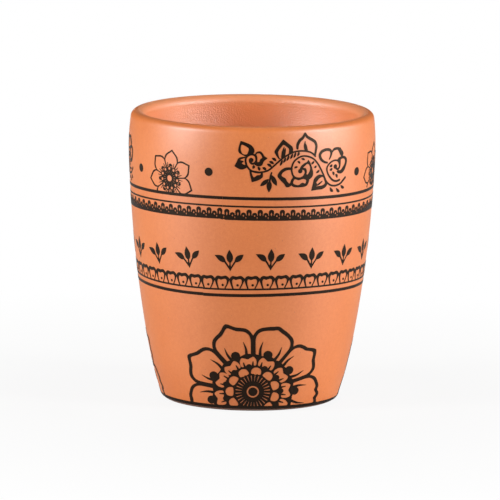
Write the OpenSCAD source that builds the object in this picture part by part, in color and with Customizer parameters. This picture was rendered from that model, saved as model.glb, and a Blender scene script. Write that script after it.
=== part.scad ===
// Espresso cup without a handle: a fired clay body, glazed inside, with a printed henna ornament.
// Millimetres, +Z up. The origin is the centre of the ground face, and the front looks along -Y.
// The outer wall is one smooth line of three arcs that share their tangents: shoulder, wall and foot.

/* [Cup body] */
// Height from the ground to the crest of the rim
cup_h = 70.6; // [67:0.2:76]
// Outer radius at the belly, the widest ring
belly_r = 30; // [27:0.2:33]
// Height of the belly
belly_z = 62.4; // [60:0.2:65]
// Radius of the arc from the belly up to the rim
shoulder_arc = 60; // [40:1:90]
// Lean of the wall where the shoulder arc ends below the belly, in degrees
shoulder_lean = 1.8; // [1:0.1:3]
// Radius of the long arc of the wall
wall_arc = 310; // [260:5:380]
// Lean of the wall where the long arc ends above the foot, in degrees
foot_lean = 10; // [8:0.25:12]
// Radius of the arc that draws the wall in above the foot
foot_arc = 120; // [90:2:160]
// Thickness of the glazed wall, and diameter of the rolled rim
wall_t = 3.4; // [2.6:0.1:4]
// Thickness of the glazed floor over the hollow of the foot
floor_t = 3.8; // [3:0.1:6]
// Radius inside between floor and wall
corner_r = 8; // [4:0.5:10]

/* [Foot] */
// Radius of the rounded heel between wall and ground
heel_r = 2; // [1:0.1:3]
// Width of the ring that the cup stands on
foot_w = 4; // [3:0.1:6]
// Depth of the hollow inside the foot ring
foot_hollow = 1.2; // [0.6:0.1:2]

/* [Glaze] */
// Thickness of the glaze that lines the inside
glaze_t = 0.3; // [0.2:0.05:0.5]

/* [Print] */
// Thickness of the fired-on print
print_t = 0.12; // [0.1:0.01:0.2]

/* [Rules] */
// Distance from the fine rule over the lace up to the wide one
upper_gap = 2; // [1:0.1:3]
// Width of the wide rule over the lace
upper_wide_w = 0.6; // [0.4:0.05:0.8]
// Clear height from the lace up to the fine rule
loop_gap = 0.4; // [0.1:0.05:1]
// Width of the fine rule over the lace
upper_fine_w = 0.3; // [0.2:0.05:0.5]
// Distance from the wide rule under the scallops up to the fine one
lower_gap = 1.5; // [0.8:0.1:2.5]
// Width of the fine rule under the scallops
lower_fine_w = 0.35; // [0.2:0.05:0.5]
// Height of the wide rule under the scallops
lower_wide_z = 29.5; // [27:0.1:32]
// Width of the wide rule under the scallops
lower_wide_w = 0.75; // [0.5:0.05:1]
// Height of the line along the base
base_line_z = 1.3; // [1.1:0.1:1.6]
// Width of the line along the base
base_line_w = 0.8; // [0.5:0.05:1]

/* [Lace] */
// Number of large loops round the cup, each with a small one beside it
loop_n = 69; // [57:3:72]
// Angle of a large loop from the front, in degrees
lace_a = -1.4; // [-2:0.1:2]
// Height of the lower edge of the solid stripe
lace_z = 47.9; // [46:0.1:49]
// Width of the solid stripe
lace_stripe_w = 0.9; // [0.6:0.05:1.1]
// Radius of a large loop
large_loop_r = 0.62; // [0.5:0.02:0.66]
// Height of a large loop's top above the stripe's lower edge
large_loop_h = 2.85; // [2.4:0.05:3.2]
// Radius of a small loop
small_loop_r = 0.5; // [0.4:0.02:0.54]
// Height of a small loop's top above the stripe's lower edge
small_loop_h = 1.9; // [1.6:0.05:2]
// Width of the line that the loops are drawn with
loop_line_w = 0.34; // [0.24:0.02:0.36]

/* [Sprigs] */
// Number of sprigs round the cup
sprig_n = 18; // [12:1:20]
// Clear height from the scallops up to the point where a sprig's stems meet
sprig_gap = 1.425; // [0.8:0.025:3]
// Length of a sprig's upright leaf
upright_leaf_l = 3.3; // [2.5:0.1:4]
// Width of a sprig's upright leaf
upright_leaf_w = 1.35; // [1:0.05:1.6]
// Length of a sprig's side leaf
side_leaf_l = 2.8; // [2:0.1:3.2]
// Width of a sprig's side leaf
side_leaf_w = 1.05; // [0.8:0.05:1.4]
// Width of a sprig's stem
stem_w = 0.34; // [0.25:0.02:0.5]

/* [Scallops] */
// Number of scallops round the cup
scallop_n = 48; // [36:1:50]
// Angle of a scallop from the front, in degrees
scallop_a = 0.9; // [-3:0.1:3]
// Height of a scallop over the fine rule
scallop_h = 3.2; // [2.6:0.1:4]
// Width of a scallop at its shoulders
scallop_w = 3.3; // [3:0.1:3.4]
// Width of a scallop at the rule
scallop_base_w = 2; // [1.6:0.1:2.4]
// Width of the line that a scallop is drawn with
scallop_line_w = 0.45; // [0.3:0.05:0.6]
// Radius of the dot in a scallop
scallop_dot_r = 0.26; // [0.2:0.02:0.4]

/* [Frieze] */
// Number of times that rosette, dots, spray and large flower repeat round the cup
repeat_n = 3; // [2:1:3]
// Angle of the first small rosette from the front, in degrees
rosette_a = -41.5; // [-45:0.5:-38]
// Height of a small rosette's centre over the wide rule
rosette_rise = 3.9; // [3.3:0.1:4.7]
// Radius over the tips of a small rosette
rosette_r = 7.1; // [6:0.1:7.5]
// Width of the line that a small rosette is drawn with
rosette_line_w = 0.36; // [0.25:0.02:0.5]
// Angle from the ends of a spray's half angle to the dots beside it, in degrees
dot_gap = 8.4; // [5:0.2:11]
// Height of the dots over the wide rule
dot_rise = 5.6; // [3.7:0.1:7.7]
// How much lower the dot after a spray stands than the dot before it
dot_fall = 1.4; // [0:0.1:2]
// Radius of the dots
dot_r = 1; // [0.7:0.05:1.3]
// Angle of the first spray from the front, in degrees
spray_a = 20.5; // [15:0.5:24]
// Half the angle that a spray covers, in degrees
spray_half_a = 30; // [26:0.5:31]
// Height of the middle of a spray over the wide rule
spray_rise = 8.7; // [7.7:0.1:9.1]
// Width of the line of a spray's vine
vine_w = 0.34; // [0.25:0.02:0.5]
// Width of the line round a spray's leaves and petals
leaf_line_w = 0.55; // [0.35:0.05:0.7]

/* [Large flowers] */
// Angle of the first large flower from the front, in degrees
flower_a = 2; // [-6:0.5:8]
// Height of a large flower's centre
flower_z = 5.2; // [4.5:0.1:6]
// Radius over the tips of a large flower
flower_r = 17.2; // [15:0.2:17.6]
// Width of the line round a large flower's petals
flower_line_w = 0.85; // [0.6:0.05:1.1]
// Radius of a large flower's crown of small lobes
flower_crown_r = 9.5; // [9:0.1:10]
// Radius of a large flower's dark disc
flower_disc_r = 4.5; // [4:0.1:4.6]
// Radius of the dots where the petals of a large flower start
flower_dot_r = 1.1; // [0.8:0.05:1.3]

/* [Hidden] */
$fn = 96;
// How far cutting shapes run past what they cut
past = 1;
// How far a motif's prism starts inside the wall that it is printed on
sink = 1.2;
// Half the width of a spray's drawing, in its own units
spray_draft_w = 15;
clay = "#dd8453";
glaze = "#c9683a";
ink = "#221b19";

// Direction of the wall's outward normal where it leans by an angle
function lean(a) = [cos(a), -sin(a)];
shoulder_c = [belly_r - shoulder_arc, belly_z];
wall_c = shoulder_c + (shoulder_arc - wall_arc) * lean(shoulder_lean);
foot_c = wall_c + (wall_arc - foot_arc) * lean(foot_lean);
function arc_r(c, r, z) = c.x + sqrt(r * r - (z - c.y) * (z - c.y));
// Outer radius of the wall at a height
function wall_r(z) =
    z > shoulder_c.y - shoulder_arc * sin(shoulder_lean) ? arc_r(shoulder_c, shoulder_arc, z)
    : z > wall_c.y - wall_arc * sin(foot_lean) ? arc_r(wall_c, wall_arc, z)
    : arc_r(foot_c, foot_arc, z);

floor_z = foot_hollow + floor_t;
rim_z = cup_h - wall_t / 2;
rim_c = [arc_r(shoulder_c, shoulder_arc - wall_t / 2, rim_z), rim_z];
rim_tilt = asin((rim_z - belly_z) / (shoulder_arc - wall_t / 2));

// Centre of a circle of radius r that touches the wall grown by d from inside, and the level z from above
function corner_c(d, r, z) = [arc_r(foot_c, foot_arc + d - r, z + r), z + r];
heel_c = corner_c(0, heel_r, 0);
inner_corner_c = corner_c(-wall_t, corner_r, floor_z);
hollow_r = heel_c.x - foot_w;

lower_fine_z = lower_wide_z + lower_gap;
scallop_z = lower_fine_z + lower_fine_w / 2;
sprig_z = scallop_z + scallop_h + sprig_gap;
upper_fine_z = lace_z + large_loop_h + loop_gap + upper_fine_w / 2;
upper_wide_z = upper_fine_z + upper_gap;
frieze_z = upper_wide_z + upper_wide_w / 2;
rosette_z = upper_wide_z + rosette_rise;
dot_z = upper_wide_z + dot_rise;
spray_z = upper_wide_z + spray_rise;
dot_a = spray_half_a + dot_gap;
spray_k = belly_r * sin(spray_half_a) / spray_draft_w;

// Points along an arc
function arc(c, r, from, to, steps) =
    [for (i = [0:steps]) let (a = from + (to - from) * i / steps) c + r * [cos(a), sin(a)]];
function heading(v) = atan2(v.y, v.x);
function reversed(p) = [for (i = [len(p) - 1:-1:0]) p[i]];

// Line from a rounded corner up the wall to the rim, grown by d
function wall_line(d, corner, r) = let (touch = heading(corner - foot_c)) [
    each arc(corner, r, -90, touch, 8),
    each arc(foot_c, foot_arc + d, touch, -foot_lean, 6),
    each arc(wall_c, wall_arc + d, -foot_lean, -shoulder_lean, 16),
    each arc(shoulder_c, shoulder_arc + d, -shoulder_lean, rim_tilt, 6)
];

// Line down the inside, from the rim's crest to the middle of the floor, with d of the glaze taken away
function inner_line(d) = [
    each arc(rim_c, wall_t / 2 - d, 90, rim_tilt + 180, 8),
    each reversed(wall_line(d - wall_t, inner_corner_c, corner_r + d)),
    [0, floor_z - d]
];

// Clay: up the outside from the hollow of the foot, over the rim and down the glaze
module body_section() {
    polygon([
        [0, foot_hollow],
        [hollow_r - foot_hollow, foot_hollow],
        [hollow_r, 0],
        each wall_line(0, heel_c, heel_r),
        each arc(rim_c, wall_t / 2, rim_tilt, 90, 6),
        each inner_line(glaze_t)
    ]);
}

module glaze_section() {
    polygon([each inner_line(0), each reversed(inner_line(glaze_t))]);
}

// Section of the layer that the print fills, between two heights
module print_section(z0, z1) {
    intersection() {
        polygon([
            each wall_line(0, heel_c, heel_r),
            each reversed(wall_line(print_t, heel_c, heel_r + print_t))
        ]);
        polygon([[0, z0], [2 * belly_r, z0], [2 * belly_r, z1], [0, z1]]);
    }
}

module ring_band(z, w) {
    color(ink) rotate_extrude() print_section(z - w / 2, z + w / 2);
}

// Prints what the motif prisms cover of the wall between two heights
module printed(z0, z1) {
    color(ink)
        intersection() {
            rotate_extrude() print_section(z0, z1);
            children();
        }
}

// Stands a flat motif of a half width in front of the wall at an angle and a height
module on_wall(angle, z, half_w, low) {
    inner_y = sqrt(pow(wall_r(low), 2) - half_w * half_w) - sink;
    rotate(angle) translate([0, -inner_y, z]) rotate([90, 0, 0])
        linear_extrude(belly_r + past - inner_y) children();
}

// A pointed leaf along +X from the origin, where two equal circles overlap
module leaf(l, w) {
    r = (l * l + w * w) / (4 * w);
    intersection() {
        translate([l / 2, r - w / 2]) circle(r = r);
        translate([l / 2, w / 2 - r]) circle(r = r);
    }
}

// The line round such a leaf
module leaf_line(l, w, line) {
    difference() {
        leaf(l, w);
        translate([line * l / w / 2, 0]) leaf(l - line * l / w, w - 1.6 * line);
    }
}

// A straight stroke between two points
module stroke(a, b, w) {
    d = (b - a) / norm(b - a);
    n = [-d.y, d.x] * w / 2;
    polygon([a + n, b + n, b - n, a - n]);
}

// Points on a smooth curve through given ones, with some steps from each to the next
function smooth(p, steps) = [
    for (i = [0:len(p) - 2], j = [0:steps - 1])
        let (t = j / steps, q = [p[max(i - 1, 0)], p[i], p[i + 1], p[min(i + 2, len(p) - 1)]])
        let (bend = 2 * q[0] - 5 * q[1] + 4 * q[2] - q[3], twist = 3 * (q[1] - q[2]) + q[3] - q[0])
        q[1] + t / 2 * (q[2] - q[0] + t * (bend + t * twist)),
    p[len(p) - 1]
];

// A curved stroke through points, with a round bud at its start
module vine(p, w, bud_r) {
    at = smooth(p, 3);
    last = len(at) - 1;
    way = [for (i = [0:last]) at[min(i + 1, last)] - at[max(i - 1, 0)]];
    side = [for (v = way) [-v.y, v.x] / norm(v) * w / 2];
    polygon([for (i = [0:last]) at[i] + side[i], for (i = [last:-1:0]) at[i] - side[i]]);
    translate(at[0]) circle(r = bud_r);
}

// Where a line from a point touches a circle, seen from its centre as an angle, on one side
function touch_angle(p, c, r, side) = heading(p - c) + side * acos(r / norm(p - c));

// Half the edge of a petal along +X of a flower with n petals, grown by g: from the tip round one shoulder
// to the boundary of the petal, which it crosses when it grows and follows when it shrinks
function half_petal(n, tip_r, g, side) = let (
    half = 180 / n,
    shoulder_d = 0.81 * tip_r,
    shoulder_a = 0.64 * half,
    room = shoulder_d * sin(half - shoulder_a),
    r = room + g,
    c = shoulder_d * [cos(shoulder_a), side * sin(shoulder_a)],
    tip = [tip_r + 1.5 * g, 0],
    end = g > 0 ? half + acos(-room / r) - 90 : half + 90
) [tip, each arc(c, r, touch_angle(tip, c, r, side), side * end, 3)];

// Edge of a whole petal
function petal_edge(n, tip_r, g) =
    [each reversed(half_petal(n, tip_r, g, -1)), each half_petal(n, tip_r, g, 1)];
function turned(p, a) = [for (q = p) [q.x * cos(a) - q.y * sin(a), q.x * sin(a) + q.y * cos(a)]];

// Outline of a flower's petals, with one petal boundary straight up
module petals(n, tip_r, line) {
    inside = [[line / 2 / sin(180 / n), 0], each petal_edge(n, tip_r, -line / 2)];
    difference() {
        polygon([for (i = [0:n - 1]) each turned(petal_edge(n, tip_r, line / 2), 90 + (i + 0.5) * 360 / n)]);
        for (i = [0:n - 1])
            polygon(turned(inside, 90 + (i + 0.5) * 360 / n));
    }
}

// Equal copies in a circle, the first straight up or half a step beside it
module wreath(n, r, shift = 0) {
    for (i = [0:n - 1])
        rotate(90 + (i + shift) * 360 / n) translate([r, 0]) children();
}

module cup_body() {
    color(clay) rotate_extrude() body_section();
}

module inner_glaze() {
    color(glaze) rotate_extrude() glaze_section();
}

module base_line() {
    ring_band(base_line_z, base_line_w);
}

module lower_rule_wide() {
    ring_band(lower_wide_z, lower_wide_w);
}

module lower_rule_fine() {
    ring_band(lower_fine_z, lower_fine_w);
}

module upper_rule_fine() {
    ring_band(upper_fine_z, upper_fine_w);
}

module upper_rule_wide() {
    ring_band(upper_wide_z, upper_wide_w);
}

// Half an outline of a scallop: a round shoulder over a side that leans in, drawn inside it by an inset
module scallop_shape(inset) {
    r = scallop_w / 4 - inset / 2;
    shoulder = [scallop_w / 2 - inset - r, scallop_h - inset - r];
    for (s = [-1, 1])
        translate([s * shoulder.x, shoulder.y]) circle(r = r);
    polygon([[-scallop_base_w / 2 + inset, -past], [scallop_base_w / 2 - inset, -past],
        [shoulder.x + r, shoulder.y], [-shoulder.x - r, shoulder.y]]);
}

module scallop_border() {
    printed(scallop_z, scallop_z + scallop_h)
        for (i = [0:scallop_n - 1])
            on_wall(scallop_a + i * 360 / scallop_n, scallop_z, scallop_w / 2, scallop_z) {
                difference() {
                    scallop_shape(0);
                    scallop_shape(scallop_line_w);
                }
                translate([0, scallop_h / 3]) circle(r = scallop_dot_r);
            }
}

// Three leaves on stems that meet at the origin
module sprig() {
    knot = upright_leaf_l / 2;
    side_base = [upright_leaf_w * 0.85, side_leaf_l * 0.8];
    translate([0, knot]) rotate(90) leaf(upright_leaf_l, upright_leaf_w);
    stroke([0, 0], [0, knot + stem_w], stem_w);
    for (s = [0, 1])
        mirror([s, 0]) {
            translate(side_base) rotate(36) leaf(side_leaf_l, side_leaf_w);
            stroke([0, 0], side_base + [stem_w, stem_w] / 2, stem_w);
        }
}

module sprig_row() {
    top = sprig_z + upright_leaf_l + side_leaf_l;
    printed(sprig_z, top)
        for (i = [0:sprig_n - 1])
            on_wall((i + 0.5) * 360 / sprig_n, sprig_z, side_leaf_l + upright_leaf_w, sprig_z) sprig();
}

// An upright loop that stands on the stripe, with a round eye in it
module loop(r, h) {
    difference() {
        union() {
            translate([0, h - r]) circle(r = r);
            translate([-r, lace_stripe_w - past]) square([2 * r, h - r - lace_stripe_w + past]);
        }
        translate([0, h - r]) circle(r = r - loop_line_w);
    }
}

module lace_border() {
    step = 360 / loop_n;
    printed(lace_z, lace_z + large_loop_h) {
        rotate_extrude() translate([wall_r(lace_z) - sink, lace_z]) square([2 * sink, lace_stripe_w]);
        for (i = [0:loop_n - 1]) {
            on_wall(lace_a + i * step, lace_z, large_loop_r, lace_z) loop(large_loop_r, large_loop_h);
            on_wall(lace_a + (i + 0.5) * step, lace_z, small_loop_r, lace_z) loop(small_loop_r, small_loop_h);
        }
    }
}

// Small flower of seven petals round a pierced hub
module rosette() {
    hub_r = 0.43 * rosette_r;
    petals(7, rosette_r, rosette_line_w);
    difference() {
        circle(r = hub_r);
        circle(r = hub_r / 4);
        wreath(11, 0.8 * hub_r) circle(r = hub_r / 7);
    }
    wreath(7, hub_r + rosette_line_w / 2, 0.5) circle(r = rosette_line_w);
}

module small_rosettes() {
    printed(frieze_z, rosette_z + rosette_r + rosette_line_w)
        for (i = [0:repeat_n - 1])
            on_wall(rosette_a + i * 360 / repeat_n, rosette_z, rosette_r + rosette_line_w, frieze_z) rosette();
}

module frieze_dots() {
    between = rosette_a + 180 / repeat_n;
    printed(dot_z - dot_fall - 2 * dot_r, dot_z + dot_fall + 2 * dot_r)
        for (i = [0:repeat_n - 1], s = [-1, 1])
            let (z = dot_z - s * dot_fall / 2)
            on_wall(between + s * dot_a + i * 360 / repeat_n, z, dot_r, z) circle(r = dot_r);
}

// A blossom round a tendril's end: open petals fanned over a range of angles
module blossom(n, r, w, from, fan) {
    for (i = [0:n - 1])
        rotate(from + i * fan / (n - 1)) translate([0.55 * r, 0]) leaf_line(r, w, leaf_line_w);
}

// A winding vine with three blossoms, three leaves, a sprig and falling drops, drawn k times its own units
module spray(k) {
    vine(k * [[-10.6, 0.5], [-9.9, 1.1], [-10.6, 2], [-11.9, 1.7], [-12.3, 0.4], [-11.4, -1.3], [-9, -2.1],
        [-6, -1], [-2.6, 1.7], [1.2, 2.8], [4, 2.2], [5.2, 1.2]], vine_w, vine_w);
    vine(k * [[1.3, -2], [2.2, -1.6], [2.4, -2.8], [1, -3.8], [-0.6, -3.2], [-1.1, -1.6], [-0.4, 0.4],
        [1.8, 1.5], [4.4, 0.9], [6.4, -1.2], [7.9, -4.1], [9.4, -5.9], [11.6, -6.4], [13.4, -5.7], [14.8, -4.5]],
        vine_w, 1.4 * vine_w);
    vine(k * [[11.3, -1.7], [12.1, -2.3], [12.6, -1.2], [11.6, -0.2], [9.8, -0.4], [8.7, -1.7], [9.1, -3.4],
        [10.6, -4.9], [12.7, -5.1]], vine_w, 1.4 * vine_w);
    translate(k * [-11, 0.6]) blossom(4, k * 3.4, k * 2.6, -38, 206);
    translate(k * [0.8, -1.8]) blossom(4, k * 4.2, k * 3.4, 186, 180);
    translate(k * [10.8, -1.2]) blossom(3, k * 3.8, k * 3, -18, 144);
    translate(k * [-3.9, 1.4]) rotate(78) leaf_line(k * 4.6, k * 3.4, leaf_line_w);
    translate(k * [2.4, 3.1]) rotate(92) leaf_line(k * 3.8, k * 3.8, leaf_line_w);
    translate(k * [7.7, -4.2]) rotate(216) leaf_line(k * 4, k * 3, leaf_line_w);
    vine(k * [[-6.2, -2.2], [-6.3, -3], [-6.5, -4]], vine_w, vine_w / 2);
    translate(k * [-6.5, -3.7]) rotate(-92) leaf(k * 3, k);
    translate(k * [-6.6, -3.4]) rotate(-150) leaf(k * 2.2, k * 0.9);
    translate(k * [-6.1, -2.6]) rotate(-62) leaf(k * 2.6, k * 0.9);
    for (i = [0:2])
        translate(k * [10 + 1.9 * i, -6.9 + 0.3 * i * i]) rotate(-52) leaf(k * 1.3, k * 0.7);
}

module vine_sprays() {
    half_w = belly_r * sin(spray_half_a) + leaf_line_w;
    printed(frieze_z, rim_z)
        for (i = [0:repeat_n - 1])
            on_wall(spray_a + i * 360 / repeat_n, spray_z, half_w, frieze_z) spray(spray_k);
}

// Large flower of nine petals round a crown of eleven lobes, which a dark disc with a ring fills
module large_flower() {
    n = 9;
    lobes = 11;
    petals(n, flower_r, flower_line_w);
    difference() {
        circle(r = flower_crown_r);
        wreath(lobes, 0.86 * flower_crown_r, 0.5)
            rotate(90) translate([-1.35, 0]) leaf(2.7, 1.5);
        wreath(lobes, (flower_crown_r + flower_disc_r) * 0.4)
            circle(r = 0.22 * (flower_crown_r - flower_disc_r));
        difference() {
            circle(r = flower_disc_r / 3);
            circle(r = flower_disc_r / 4);
        }
    }
    wreath(n, flower_crown_r + flower_dot_r / 2, 0.5) circle(r = flower_dot_r);
    for (s = [-0.24, 0.24])
        wreath(n, flower_crown_r - flower_line_w, 0.5 + s) rotate(-40 * s) leaf(4, 0.6);
}

module large_flowers() {
    low = base_line_z + base_line_w / 2;
    printed(low, flower_z + flower_r + flower_line_w)
        for (i = [0:repeat_n - 1])
            on_wall(flower_a + i * 360 / repeat_n, flower_z, flower_r + flower_line_w, low) large_flower();
}

cup_body();
inner_glaze();
base_line();
lower_rule_wide();
lower_rule_fine();
scallop_border();
sprig_row();
lace_border();
upper_rule_fine();
upper_rule_wide();
small_rosettes();
frieze_dots();
vine_sprays();
large_flowers();
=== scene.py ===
"""Studio looks of a handleless espresso cup: a lathed stoneware body, a satin lining and a fired-on print.

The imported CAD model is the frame. The print is drawn flat in millimetres and wrapped onto the wall.
Meshes are in metres, and angles round the cup count from the front towards the right hand.
"""

import logging
import math
from collections.abc import Callable, Sequence
from dataclasses import dataclass, field, replace
from enum import Enum

import bpy
from mathutils import Euler, Matrix, Vector
from mathutils.geometry import delaunay_2d_cdt


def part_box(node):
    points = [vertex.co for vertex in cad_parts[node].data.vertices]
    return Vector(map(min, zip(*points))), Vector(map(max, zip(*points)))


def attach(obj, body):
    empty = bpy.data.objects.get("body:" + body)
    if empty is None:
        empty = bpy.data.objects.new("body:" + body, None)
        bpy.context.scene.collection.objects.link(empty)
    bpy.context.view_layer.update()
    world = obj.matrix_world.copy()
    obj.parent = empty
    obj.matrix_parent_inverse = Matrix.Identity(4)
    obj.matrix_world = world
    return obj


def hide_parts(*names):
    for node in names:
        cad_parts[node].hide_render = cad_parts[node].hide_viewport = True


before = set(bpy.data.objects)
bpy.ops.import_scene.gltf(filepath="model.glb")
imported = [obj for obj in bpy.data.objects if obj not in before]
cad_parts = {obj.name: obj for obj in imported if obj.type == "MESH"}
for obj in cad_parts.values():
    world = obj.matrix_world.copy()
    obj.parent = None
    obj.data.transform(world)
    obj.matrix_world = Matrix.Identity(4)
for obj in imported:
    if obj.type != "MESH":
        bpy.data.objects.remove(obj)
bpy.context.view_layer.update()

MM = 0.001
TINY = 1e-6  # lengths under this count as none
HAIR = 0.02  # half the width of the finest drawn line, in millimetres
WHITE = (1.0, 1.0, 1.0, 1.0)
Point = tuple[float, float]
Outline = list[Point]
log = logging.getLogger("espresso_cup")


def arc(centre: Point, radius: float, start: float, end: float, steps: int) -> Outline:
    """Points along a circular arc.

    Args:
        centre: Centre of the circle.
        radius: Radius of the circle.
        start: First angle in degrees.
        end: Last angle in degrees.
        steps: Number of equal steps.

    Returns:
        The points from the first angle to the last.
    """
    turns = [math.radians(start + (end - start) * i / steps) for i in range(steps + 1)]
    return [(centre[0] + radius * math.cos(a), centre[1] + radius * math.sin(a)) for a in turns]


def disc(centre: Point, radius: float, steps: int = 20) -> Outline:
    """Outline of a round spot."""
    return arc(centre, radius, 0.0, 360.0, steps)[:-1]


def polar(radius: float, angle: float) -> Point:
    """Point at a distance and an angle in degrees from the origin."""
    return radius * math.cos(math.radians(angle)), radius * math.sin(math.radians(angle))


def placed(outline: Outline, angle: float = 0.0, by: Point = (0.0, 0.0)) -> Outline:
    """Turns an outline about the origin and then moves it.

    Args:
        outline: The points to move.
        angle: Turn in degrees.
        by: Move after the turn.

    Returns:
        The moved points.
    """
    c, s = math.cos(math.radians(angle)), math.sin(math.radians(angle))
    return [(by[0] + x * c - y * s, by[1] + x * s + y * c) for x, y in outline]


def through(points: Sequence[Point], steps: int = 5, closed: bool = False) -> Outline:
    """Smooth curve through points.

    Args:
        points: Points that the curve passes.
        steps: Steps from each point to the next.
        closed: Whether the curve returns to its first point.

    Returns:
        Points along the curve.
    """
    n = len(points)
    last = n if closed else n - 1

    def pick(i: int) -> Point:
        """Point at an index, which wraps round or stops at the ends."""
        return points[i % n] if closed else points[min(max(i, 0), n - 1)]

    line: Outline = []
    for i in range(last):
        a, b, c, d = pick(i - 1), pick(i), pick(i + 1), pick(i + 2)
        for t in (j / steps for j in range(steps)):
            line.append(tuple(
                q + t / 2 * (r - p + t * (2 * p - 5 * q + 4 * r - s + t * (3 * (q - r) + s - p)))
                for p, q, r, s in zip(a, b, c, d)
            ))
    return line if closed else line + [tuple(points[-1])]


def divided(outline: Outline, longest: float) -> Outline:
    """Adds points along the sides of an outline.

    Args:
        outline: The points, in order.
        longest: Length that no side may pass.

    Returns:
        The points with the added ones among them.
    """
    line: Outline = []
    for (ax, ay), (bx, by) in zip(outline, outline[1:] + outline[:1]):
        parts = max(1, math.ceil(math.hypot(bx - ax, by - ay) / longest))
        line += [(ax + (bx - ax) * i / parts, ay + (by - ay) * i / parts) for i in range(parts)]
    return line


def grown(outline: Outline, reach: float) -> Outline:
    """Moves an outline outwards.

    Args:
        outline: The points, in order.
        reach: How far they move. A negative reach moves them inwards.

    Returns:
        The moved points.
    """
    before, after = outline[-1:] + outline[:-1], outline[1:] + outline[:1]
    area = sum(x * ny - nx * y for (x, y), (nx, ny) in zip(outline, after))
    way = math.copysign(reach, reach * area)
    line: Outline = []
    for (px, py), (x, y), (nx, ny) in zip(before, outline, after):
        size = math.hypot(nx - px, ny - py)
        line.append((x + (ny - py) / size * way, y - (nx - px) / size * way) if size > TINY else (x, y))
    return line


def pointed(*stretches: Sequence[Point]) -> Outline:
    """Closed outline of smooth stretches that meet in corners.

    Args:
        stretches: Points of each stretch, which starts where the one before it ends.

    Returns:
        The outline.
    """
    line: Outline = []
    for stretch in stretches:
        line += through(stretch)[1 if line else 0:]
    return line


def stroke(line: Outline, *widths: float) -> Outline:
    """Outline of a drawn line with round ends.

    Args:
        line: Points along the middle of the line.
        widths: Two or more widths, spread evenly from its start to its end.

    Returns:
        The outline.
    """
    last = len(line) - 1
    left: Outline = []
    right: Outline = []
    for i, (x, y) in enumerate(line):
        bx, by = line[max(i - 1, 0)]
        ax, ay = line[min(i + 1, last)]
        size = math.hypot(ax - bx, ay - by)
        dx, dy = (ax - bx) / size, (ay - by) / size
        spot = i / last * (len(widths) - 1)
        k = min(int(spot), len(widths) - 2)
        half = max((widths[k] + (widths[k + 1] - widths[k]) * (spot - k)) / 2, HAIR)
        left.append((x - dy * half, y + dx * half))
        right.append((x + dy * half, y - dx * half))
        if i in (0, last):
            heading = math.degrees(math.atan2(dy, dx))
            cap = arc((x, y), half, heading - 90, heading + 90, steps=6)[1:-1]
            if i == last:
                right += cap
            else:
                left = [(2 * x - px, 2 * y - py) for px, py in cap[::-1]] + left
    return right + left[::-1]


def leaf(base: Point, tip: Point, width: float, belly: float, sway: float = 0.0, steps: int = 9) -> Outline:
    """Outline of a pointed leaf.

    Args:
        base: Where the leaf starts.
        tip: Where it ends.
        width: Its greatest width.
        belly: Where along it the greatest width lies, from 0 to 1.
        sway: How far its middle line bows to the left.
        steps: Number of steps along each side.

    Returns:
        The outline.
    """
    dx, dy = tip[0] - base[0], tip[1] - base[1]
    size = math.hypot(dx, dy)
    sides: tuple[Outline, Outline] = ([], [])
    for t in (i / steps for i in range(1, steps)):
        full = ((t / belly) ** belly * ((1 - t) / (1 - belly)) ** (1 - belly)) ** 2
        for side, line in zip((1, -1), sides):
            h = sway * math.sin(math.pi * t) + side * width / 2 * full
            line.append((base[0] + dx * t - dy / size * h, base[1] + dy * t + dx / size * h))
    return [base, *sides[1], tip, *sides[0][::-1]]


def linear(colour: str) -> tuple[float, float, float, float]:
    """Turns an sRGB hex colour into linear RGBA."""
    parts = [int(colour[i:i + 2], 16) / 255 for i in (1, 3, 5)]
    return (*((p / 12.92 if p <= 0.04045 else ((p + 0.055) / 1.055) ** 2.4) for p in parts), 1.0)


def per_mm(size: float) -> float:
    """Texture scale at which a pattern repeats about every so many millimetres."""
    return 1.0 / (size * MM)


def add_node(tree: bpy.types.NodeTree, kind: str, inputs: dict, **settings: object) -> bpy.types.Node:
    """Adds one node with its settings and links.

    Args:
        tree: Node tree that gets the node.
        kind: Type of the node.
        inputs: Value or linked socket for each input, by name or index.
        settings: The node's own properties.

    Returns:
        The node.
    """
    node = tree.nodes.new(kind)
    for name, value in settings.items():
        setattr(node, name, value)
    for key, value in inputs.items():
        if isinstance(value, bpy.types.NodeSocket):
            tree.links.new(value, node.inputs[key])
        else:
            node.inputs[key].default_value = value
    return node


def new_tree(name: str) -> tuple[bpy.types.Material, bpy.types.NodeTree]:
    """Makes an empty node material.

    Args:
        name: Name of the material.

    Returns:
        The material and its tree.
    """
    material = bpy.data.materials.new(name)
    material.use_nodes = True
    material.node_tree.nodes.clear()
    return material, material.node_tree


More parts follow.
